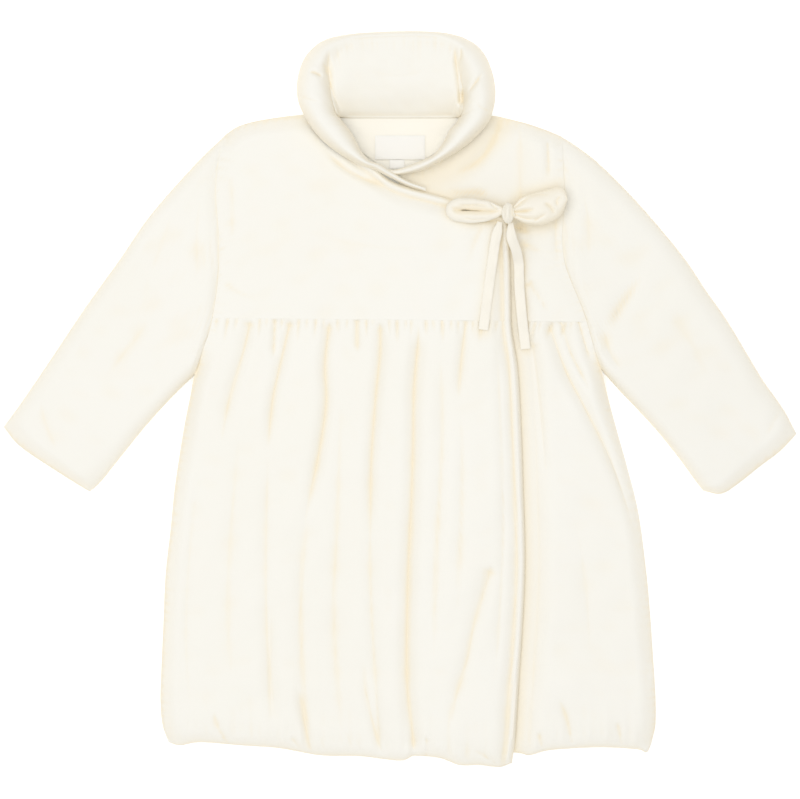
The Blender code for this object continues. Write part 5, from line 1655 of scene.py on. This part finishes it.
@dataclass
class Bow:
    """The tie of the wrap: a small open loop, a full loop and the knot between them."""

    short_route: tuple[Point, ...] = (
        (101, 187.5), (92, 190.6), (80, 193), (68, 194.2), (58, 193.6), (52, 190.6), (52, 185.6),
        (58, 182.4), (70, 181.6), (83, 182), (94, 183.8), (101, 187.5),
    )
    short_level: float = 34.6
    short_band: tuple[float, float] = (6.0, 5.4)
    short_lattice: tuple[int, int] = (150, 40)
    short_waves: tuple[float, float] = (0.10, 0.03)
    root_thin: float = 0.42
    root_share: float = 0.13
    # Painted shade on the inner side of the small loop, round its slit.
    slit_shade: float = 1.3
    short_creases: tuple[Fold, ...] = (
        Fold("upper crease", ((55, 196), (64, 193), (78, 193.5), (92, 191)), 2.6, 1.8, 0.3, 0.3),
        Fold("knot crease", ((88, 197), (93, 192), (98, 188)), 2.6, 1.8, 0.3, 0.2),
        Fold("lower crease", ((60, 181), (74, 178.5), (90, 179.5)), 1.8, 1.8, 0.3, 0.3),
        Fold("end crease", ((50, 193), (55, 189), (61, 188)), 1.8, 2.0, 0.3, 0.3),
    )
    full_top: tuple[Point, ...] = (
        (112.5, 191), (122, 201), (145, 208), (157, 211), (164, 208), (167, 198),
    )
    full_foot: tuple[Point, ...] = (
        (112.5, 181), (125, 174.5), (140, 173), (152, 177), (161, 184), (167, 198),
    )
    full_low: float = 23.5
    full_high: float = 50.0
    full_rows: int = 70
    full_columns: int = 52
    full_reach: float = 0.985
    half_wall: float = 0.5
    rise_share: float = 0.5
    under_crease: float = 0.4
    relief_height: float = 0.6
    relief_scale: float = 2.4
    root: tuple[float, float] = (33.0, 44.0)
    creases: tuple[Fold, ...] = (
        Fold("upper crease", ((113, 190), (121, 196), (130, 203)), 4.0, 2.4, 0.05, 0.5),
        Fold("middle crease", ((113, 186), (126, 187), (137, 190)), 5.0, 2.6, 0.05, 0.6),
        Fold("high crease", ((126, 202), (138, 204), (150, 203)), 2.6, 2.2, 0.3, 0.5),
        Fold("cross crease", ((142, 196), (150, 190), (154, 181)), 2.6, 2.6, 0.3, 0.4),
        Fold("foot crease", ((132, 176), (142, 182), (148, 185)), 2.4, 2.4, 0.2, 0.5),
        Fold("lower crease", ((114, 183), (126, 179), (142, 179)), 3.6, 2.4, 0.05, 0.6),
        Fold("end crease", ((161, 204), (156, 197), (158, 188)), 2.2, 3.0, 0.3, 0.4),
    )
    knot_centre: Point = (107.6, 185.0, 38.5)
    knot_size: Point = (6.0, 10.4, 9.0)
    knot_skin: tuple[float, float] = (30.0, 40.0)
    knot_lattice: tuple[int, int] = (56, 34)
    knot_cap: float = 0.04
    knot_pinch: float = 0.10
    knot_creases: float = 5.0
    # The share of the warm tint laid evenly over each piece of the bow.
    warmth: float = 0.4

    def short_loop(self) -> bpy.types.Object:
        """Make the small loop: a padded band bent into a flat ring with a slit in it.

        Returns:
            The new object.
        """
        route = Line(self.short_route)
        around, section = self.short_lattice
        share = np.arange(around) / around
        middle = route.at(share)
        ahead = route.at((share + LOOK_AHEAD) % 1.0) - route.at((share - LOOK_AHEAD) % 1.0)
        ahead /= np.linalg.norm(ahead, axis=1)[:, None]
        out = np.stack([ahead[:, 1], -ahead[:, 0]], axis=-1)
        turn = 2.0 * math.pi * np.arange(section) / section
        broad, fine = self.short_waves
        ripple = 1.0 + broad * np.sin(share * 2.0 * math.pi * 3.0 + 0.6)[:, None] * np.sin(turn + 0.5)[None]
        ripple = ripple + fine * np.sin(share * 2.0 * math.pi * 7.0 + 2.0)[:, None]
        from_root = ((share + 0.5) % 1.0 - 0.5) / self.root_share
        thin = 1.0 - self.root_thin * np.exp(-from_root ** 2)[:, None]
        wide = self.short_band[0] * np.cos(turn)[None] * ripple * thin
        tall = self.short_band[1] * np.sin(turn)[None] * ripple * thin
        x = middle[:, None, 0] + out[:, None, 0] * wide
        y = middle[:, None, 1] + out[:, None, 1] * wide
        upper = np.maximum(np.sin(turn)[None], 0.0)
        level = self.short_level + tall - all_folds(self.short_creases, x, y) * upper
        points = np.dstack([x, y, level])
        skin = (route.length, 2.0 * math.pi * self.short_band[1])
        # The inner side of the ring, round the slit, gets painted shade on top of the even tint.
        inside = np.clip(-np.cos(turn), 0.0, 1.0)[None] * np.ones((around, 1))
        loop = closed_ring("bow_small_loop", points, skin)
        return warmed(loop, self.warmth + self.slit_shade * inside.ravel())

    def full_loop(self) -> bpy.types.Object:
        """Make the full loop: a puffed teardrop with folds that fan out from the knot.

        Returns:
            The new object.
        """
        top, foot = Line(self.full_top), Line(self.full_foot)
        across = closer_ends(self.full_columns, 0.6)[None, :]
        along = closer_ends(self.full_rows, 0.5)[:, None] * self.full_reach
        start, stop = foot.at(along[:, 0])[:, None], top.at(along[:, 0])[:, None]
        plan = start + (stop - start) * across[..., None]
        x, y = plan[..., 0], plan[..., 1]
        swell = np.sin(math.pi * np.minimum(1.0, 0.12 + 0.88 * along) ** 0.8) ** 0.6
        clear = glide(along / self.rise_share)
        low = blend(self.root[0], self.full_low, clear)
        high = blend(self.root[1], self.full_high, np.maximum(swell, 0.2 * clear))
        rim = round_off(2.0 * np.minimum(across, 1.0 - across))
        middle = 0.5 * (low + high)
        crease = all_folds(self.creases, x, y)
        upper = middle + self.half_wall + (high - middle - self.half_wall) * rim - crease * rim
        lower = middle - self.half_wall - (middle - self.half_wall - low) * rim
        lower += self.under_crease * crease * rim
        upper += self.relief_height * down_relief(x * self.relief_scale, y * self.relief_scale) * rim
        loop = closed_quilt("bow_big_loop", np.dstack([x, y, upper]), np.dstack([x, y, lower]), plan)
        return warmed(loop, self.warmth)

    def knot(self) -> bpy.types.Object:
        """Make the knot: a band drawn tight round the loops' roots, creased across.

        Returns:
            The new object.
        """
        around, section = self.knot_lattice
        turn = 2.0 * math.pi * np.arange(around) / around
        lift = np.linspace(self.knot_cap, math.pi - self.knot_cap, section)
        crease = np.cos(turn * self.knot_creases + 0.8)[None]
        pinch = 1.0 - self.knot_pinch * crease * np.sin(lift)[:, None] ** 2
        x = self.knot_centre[0] + self.knot_size[0] * np.sin(lift)[:, None] * np.cos(turn)[None] * pinch
        z = self.knot_centre[2] + self.knot_size[2] * np.sin(lift)[:, None] * np.sin(turn)[None] * pinch
        y = self.knot_centre[1] + self.knot_size[1] * np.cos(lift)[:, None] * np.ones(around)[None]
        knot = closed_ring("bow_knot_wrap", np.dstack([x, y, z]), self.knot_skin, capped=True)
        return warmed(knot, self.warmth)


# The painted warm shade in the creases of the small loop and the knot is read from one average.
RING_CREASE_STEPS = 8
RING_CREASE_MOST = 0.4


def closed_ring(name: str, points: Grid, size: tuple[float, float],
                capped: bool = False) -> bpy.types.Object:
    """Join a lattice of points that closes on itself into one skin.

    Args:
        name: The piece's name.
        points: The lattice in millimetres; its columns always close, and its rows too unless capped.
        size: The skin's length and girth, for the weave.
        capped: Whether the first and last rows end in a cap.

    Returns:
        The new object, with a UV map in metres and a crease attribute of painted shade.
    """
    rows, columns = points.shape[:2]
    index = np.arange(rows * columns).reshape(rows, columns)
    side = np.roll(index, -1, axis=1)
    low, high = (slice(0, -1), slice(1, None)) if capped else (slice(None), slice(None))
    base, base_side = index[low], side[low]
    next_index = index[high] if capped else np.roll(index, -1, axis=0)
    next_side = side[high] if capped else np.roll(side, -1, axis=0)
    faces = np.stack([base, base_side, next_side, next_index], axis=-1).reshape(-1, 4).tolist()
    if capped:
        faces.append(index[0][::-1].tolist())
        faces.append(index[-1].tolist())
    mesh = bpy.data.meshes.new(name)
    places = points.reshape(-1, 3) * MM
    mesh.from_pydata(places.tolist(), [], faces)
    mesh.update()
    centre = places.mean(axis=0)
    outward = sum(float((np.array(face.center) - centre) @ np.array(face.normal)) * face.area
                  for face in mesh.polygons)
    if outward < 0.0:
        mesh.flip_normals()
    mesh.shade_smooth()
    drop = spread_blur(points[..., 2], RING_CREASE_STEPS) - points[..., 2]
    warmth = np.clip(drop, 0.0, RING_CREASE_MOST).ravel()
    flat = np.dstack(np.meshgrid(np.linspace(0, size[1], columns), np.linspace(0, size[0], rows)))
    return clothed(name, mesh, warmth, flat.reshape(-1, 2))


@dataclass
class RibbonTail:
    """A ribbon tail that lies along a route, narrow at the knot and creased along its middle."""

    name: str
    stops: tuple[Point, ...]
    width: float = 10.0
    thick: float = 0.9
    crease: float = 1.1
    crease_run: float = 0.35
    wave: float = 0.5
    edge_wave: float = 0.25
    knot_width: float = 0.55
    knot_share: float = 0.10
    sink: float = 0.4
    rim_share: float = 0.07
    rim_half: float = 0.08
    look_ahead: float = 0.01
    rows: int = 150
    columns: int = 15

    def build(self) -> bpy.types.Object:
        """Make the ribbon as a thin closed strip.

        Returns:
            The new object.
        """
        line = Line(self.stops)
        along, across = np.linspace(0.0, 1.0, self.rows), np.linspace(-0.5, 0.5, self.columns)
        middle = line.at(along)
        ahead = line.at(np.minimum(along + self.look_ahead, 1.0))
        ahead -= line.at(np.maximum(along - self.look_ahead, 0.0))
        ahead /= np.linalg.norm(ahead[:, :2], axis=1)[:, None]
        narrow = blend(self.knot_width, 1.0, glide(along / self.knot_share))[:, None]
        side = across[None] * self.width * narrow
        x = middle[:, None, 0] - ahead[:, None, 1] * side
        y = middle[:, None, 1] + ahead[:, None, 0] * side
        fade = np.exp(-along / self.crease_run)[:, None]
        fold = self.crease * (1.0 - 2.0 * np.abs(across))[None] * fade
        sway = self.wave * np.sin(along * 21.0 + 0.6)[:, None] * (across[None] * 1.6)
        edge = self.edge_wave * np.sin(along * 57.0)[:, None] * (2.0 * np.abs(across[None])) ** 3
        level = middle[:, None, 2] - self.sink + fold + sway + edge
        rim = self.thick * round_off((0.5 - np.abs(across)) / self.rim_share)[None] * 0.5 + self.rim_half
        outer = np.dstack([x, y, level + rim])
        inner = np.dstack([x, y, level - rim])
        flat = np.dstack(np.meshgrid(across * self.width, along * line.length))
        return closed_quilt(self.name, outer, inner, flat)


RIGHT_TAIL = RibbonTail("ribbon_tail_right", (
    (99.6, 176.5, 33.2), (95.5, 160, 32.4), (91, 130, 32.2), (87, 100, 32.2), (83, 69, 32.0)))
LEFT_TAIL = RibbonTail("ribbon_tail_left", (
    (110.4, 175.8, 33.4), (111, 162, 32.8), (116, 148, 28.8), (118.5, 136, 23.2), (119, 124, 22.0),
    (119.5, 110, 22.4), (121.5, 86, 22.0), (125.5, 50, 21.6)))


@dataclass
class NeckInside:
    """The facing inside the back neck, the bare label and the bare size tab."""

    right_edge: tuple = ((-8, 226), (-24, 237), (-42, 251), (-56, 266), (-64, 281.4))
    left_edge: tuple = ((-1, 229), (22, 239.5), (36, 247), (48, 257), (57, 268), (62, 281.4))
    level: float = BACK_LEVEL + 0.3
    thick: float = 1.6
    relief_height: float = 0.12
    facing_lattice: tuple[int, int] = (90, 60)
    label_level: float = BACK_LEVEL + 2.2
    tab_lattice: tuple[int, int] = (34, 22)
    tab_round: float = 1.2
    tab_rim: float = 0.3
    tab_ripple: float = 0.05
    seam: Fold = Fold("lining seam", ((-34, 240.6), (0, 239.6), (30, 240.4)), 0.7, 1.2, 0.05, 0.05)
    drifts: tuple[Fold, ...] = (
        Fold("right drift", ((-50, 274), (-36, 262), (-30, 250)), 0.5, 4.0, 0.3),
        Fold("left drift", ((50, 274), (40, 262), (34, 252)), 0.5, 4.0, 0.3),
    )

    def facing(self) -> bpy.types.Object:
        """Make the facing, with the line where it joins the lining.

        Returns:
            The new object.
        """
        foot = Line((self.right_edge[0], self.left_edge[0]))
        head = Line((self.right_edge[-1], self.left_edge[-1]))
        across, along = (np.linspace(0, 1, count) for count in self.facing_lattice)
        plan = patch(foot, head, Line(self.right_edge), Line(self.left_edge), across, along)
        x, y = plan[..., 0], plan[..., 1]
        dip = self.seam.depth_at(x, y) + all_folds(self.drifts, x, y)
        level = self.level + self.thick - dip + self.relief_height * down_relief(x * 2.0, y * 2.0)
        inner = np.full(x.shape, self.level)
        return closed_quilt("neck_facing_cloth", np.dstack([plan, level]), np.dstack([plan, inner]), plan)

    def tab(self, name: str, centre: Point, size: Point, bow: float) -> bpy.types.Object:
        """A small woven tab with softly rounded edges and nothing on it.

        Args:
            name: The piece's name.
            centre: Its middle.
            size: Its width, height and thickness.
            bow: How far its middle lifts off the facing.

        Returns:
            The new object.
        """
        u, v = np.meshgrid(*(np.linspace(-0.5, 0.5, count) for count in self.tab_lattice))
        x = centre[0] + size[0] * u
        y = centre[1] + size[1] * v
        rim = np.minimum((0.5 - np.abs(u)) * size[0], (0.5 - np.abs(v)) * size[1])
        ripple = self.tab_ripple * np.sin(u * 40.0) * (2.0 * np.abs(v)) ** 4
        lift = bow * np.cos(math.pi * u) * np.cos(math.pi * v) + ripple
        half = 0.5 * size[2] * blend(self.tab_rim, 1.0, round_off(rim / self.tab_round))
        middle = self.label_level + 0.5 * size[2] + lift
        flat = np.dstack([x, y])
        return closed_quilt(name, np.dstack([x, y, middle + half]), np.dstack([x, y, middle - half]), flat)


@dataclass
class Studio:
    """The plain pale floor, the soft light and the camera straight above."""

    camera_height: float = 4.0
    view_width: float = 0.8
    aim: Point = (0.0, -0.0005, 0.02)
    sensor: float = 36.0
    floor_span: float = 12.0
    floor_glow: float = 0.3
    glow_colour: tuple = (1.0, 0.99, 0.97, 1.0)
    paper: tuple = (0.975, 0.975, 0.975, 1.0)
    pale_paper: tuple = (0.98, 0.98, 0.98, 1.0)
    key_power: float = 25.0
    key_disc: float = 2.2
    key_place: Point = (-0.34, 0.12, 2.55)
    sky_colour: tuple = (1.0, 0.990, 0.970, 1.0)
    world_strength: float = 0.70

    def floor(self) -> None:
        """A wide pale floor."""
        mesh = bpy.data.meshes.new("studio_floor")
        half = 0.5 * self.floor_span
        corners = [(-half, -half, 0.0), (half, -half, 0.0), (half, half, 0.0), (-half, half, 0.0)]
        mesh.from_pydata(corners, [], [(0, 1, 2, 3)])
        shader = Shader("floor_paper")
        place = shader.node("ShaderNodeTexCoord", {}, {}, "Object")
        shade = shader.noise(place, 3.0, 1.0)
        shader.plug(shader.main, {
            "Base Color": shader.mix(shade, self.paper, self.pale_paper),
            "Roughness": 0.9,
            "Specular IOR Level": 0.1,
            "Emission Color": self.glow_colour,
            "Emission Strength": self.floor_glow,
        })
        mesh.materials.append(shader.material)
        placed("studio_floor", mesh)

    def lights(self) -> None:
        """One broad light above, tilted a little from the upper left, and a pale sky."""
        data = bpy.data.lights.new("key", "AREA")
        data.shape = "DISK"
        data.size = self.key_disc
        data.energy = self.key_power
        key = placed("key", data)
        key.location = self.key_place
        key.rotation_mode = "QUATERNION"
        key.rotation_quaternion = (-Vector(self.key_place)).to_track_quat("-Z", "Y")
        world = bpy.data.worlds.new("sky")
        world.use_nodes = True
        sky = world.node_tree.nodes["Background"]
        sky.inputs["Color"].default_value = self.sky_colour
        sky.inputs["Strength"].default_value = self.world_strength
        bpy.context.scene.world = world

    def camera(self) -> None:
        """The camera straight above, with the wearer's left side on its right."""
        data = bpy.data.cameras.new("camera")
        data.sensor_width = self.sensor
        data.lens = self.camera_height * self.sensor / self.view_width
        data.clip_end = 20.0
        camera = placed("camera", data)
        camera.location = (self.aim[0], self.aim[1], self.aim[2] + self.camera_height)
        bpy.context.scene.camera = camera
        view = bpy.context.scene.view_settings
        view.view_transform = "Standard"
        view.look = "None"

    def build(self) -> None:
        """Set the whole stage."""
        self.camera()
        self.floor()
        self.lights()


# Each tab's middle, size and bow off the facing.
LABEL = ((0.0, 252.0), (50.0, 24.0, 0.8), 0.5)
SIZE_TAB = ((-3.0, 235.0), (15.0, 9.0, 0.8), 0.3)


def build_coat() -> None:
    """Build every piece of the coat and give each its finish."""
    back, wrap, under = BackPanels(), WrapFront(), UnderFront()
    back_skirt = dress(back.skirt(), Finish.SHELL, ["back_skirt"])
    back_bodice = dress(back.bodice(), Finish.SHELL, ["back_bodice"])
    under_skirt = dress(under.skirt(), Finish.SHELL, ["under_front_skirt"])
    under_bodice = dress(under.bodice(), Finish.SHELL, ["under_front_bodice"])
    wrap_skirt = dress(wrap.skirt(), Finish.SHELL, ["wrap_front_skirt"])
    wrap_bodice = dress(wrap.bodice(), Finish.SHELL, ["wrap_front_bodice"])
    right_sleeve = dress(RIGHT_SLEEVE.build(), Finish.SHELL, ["right_sleeve"])
    left_sleeve = dress(LEFT_SLEEVE.build(), Finish.SHELL, ["left_sleeve"])
    collar_nodes = ["collar_back", "collar_right_side", "collar_left_side"]
    collar = dress(Collar().build(), Finish.SHELL, collar_nodes)
    bow = Bow()
    small_loop = dress(bow.short_loop(), Finish.SHELL, ["bow_short_loop"])
    big_loop = dress(bow.full_loop(), Finish.SHELL, ["bow_full_loop"])
    knot = dress(bow.knot(), Finish.SHELL, ["bow_knot"])
    right_tail = dress(RIGHT_TAIL.build(), Finish.RIBBON, ["right_tail"])
    left_tail = dress(LEFT_TAIL.build(), Finish.RIBBON, ["left_tail"])
    neck = NeckInside()
    facing = dress(neck.facing(), Finish.FACING, ["neck_facing"])
    label = dress(neck.tab("bare_label", *LABEL), Finish.LABEL, ["neck_label"])
    tab = dress(neck.tab("bare_size_tab", *SIZE_TAB), Finish.LABEL, ["size_tab"])


def main() -> None:
    """Build the coat and its stage."""
    logging.basicConfig(level=logging.INFO, format="%(name)s: %(message)s")
    Studio().build()
    build_coat()


if __name__ == "__main__":
    main()
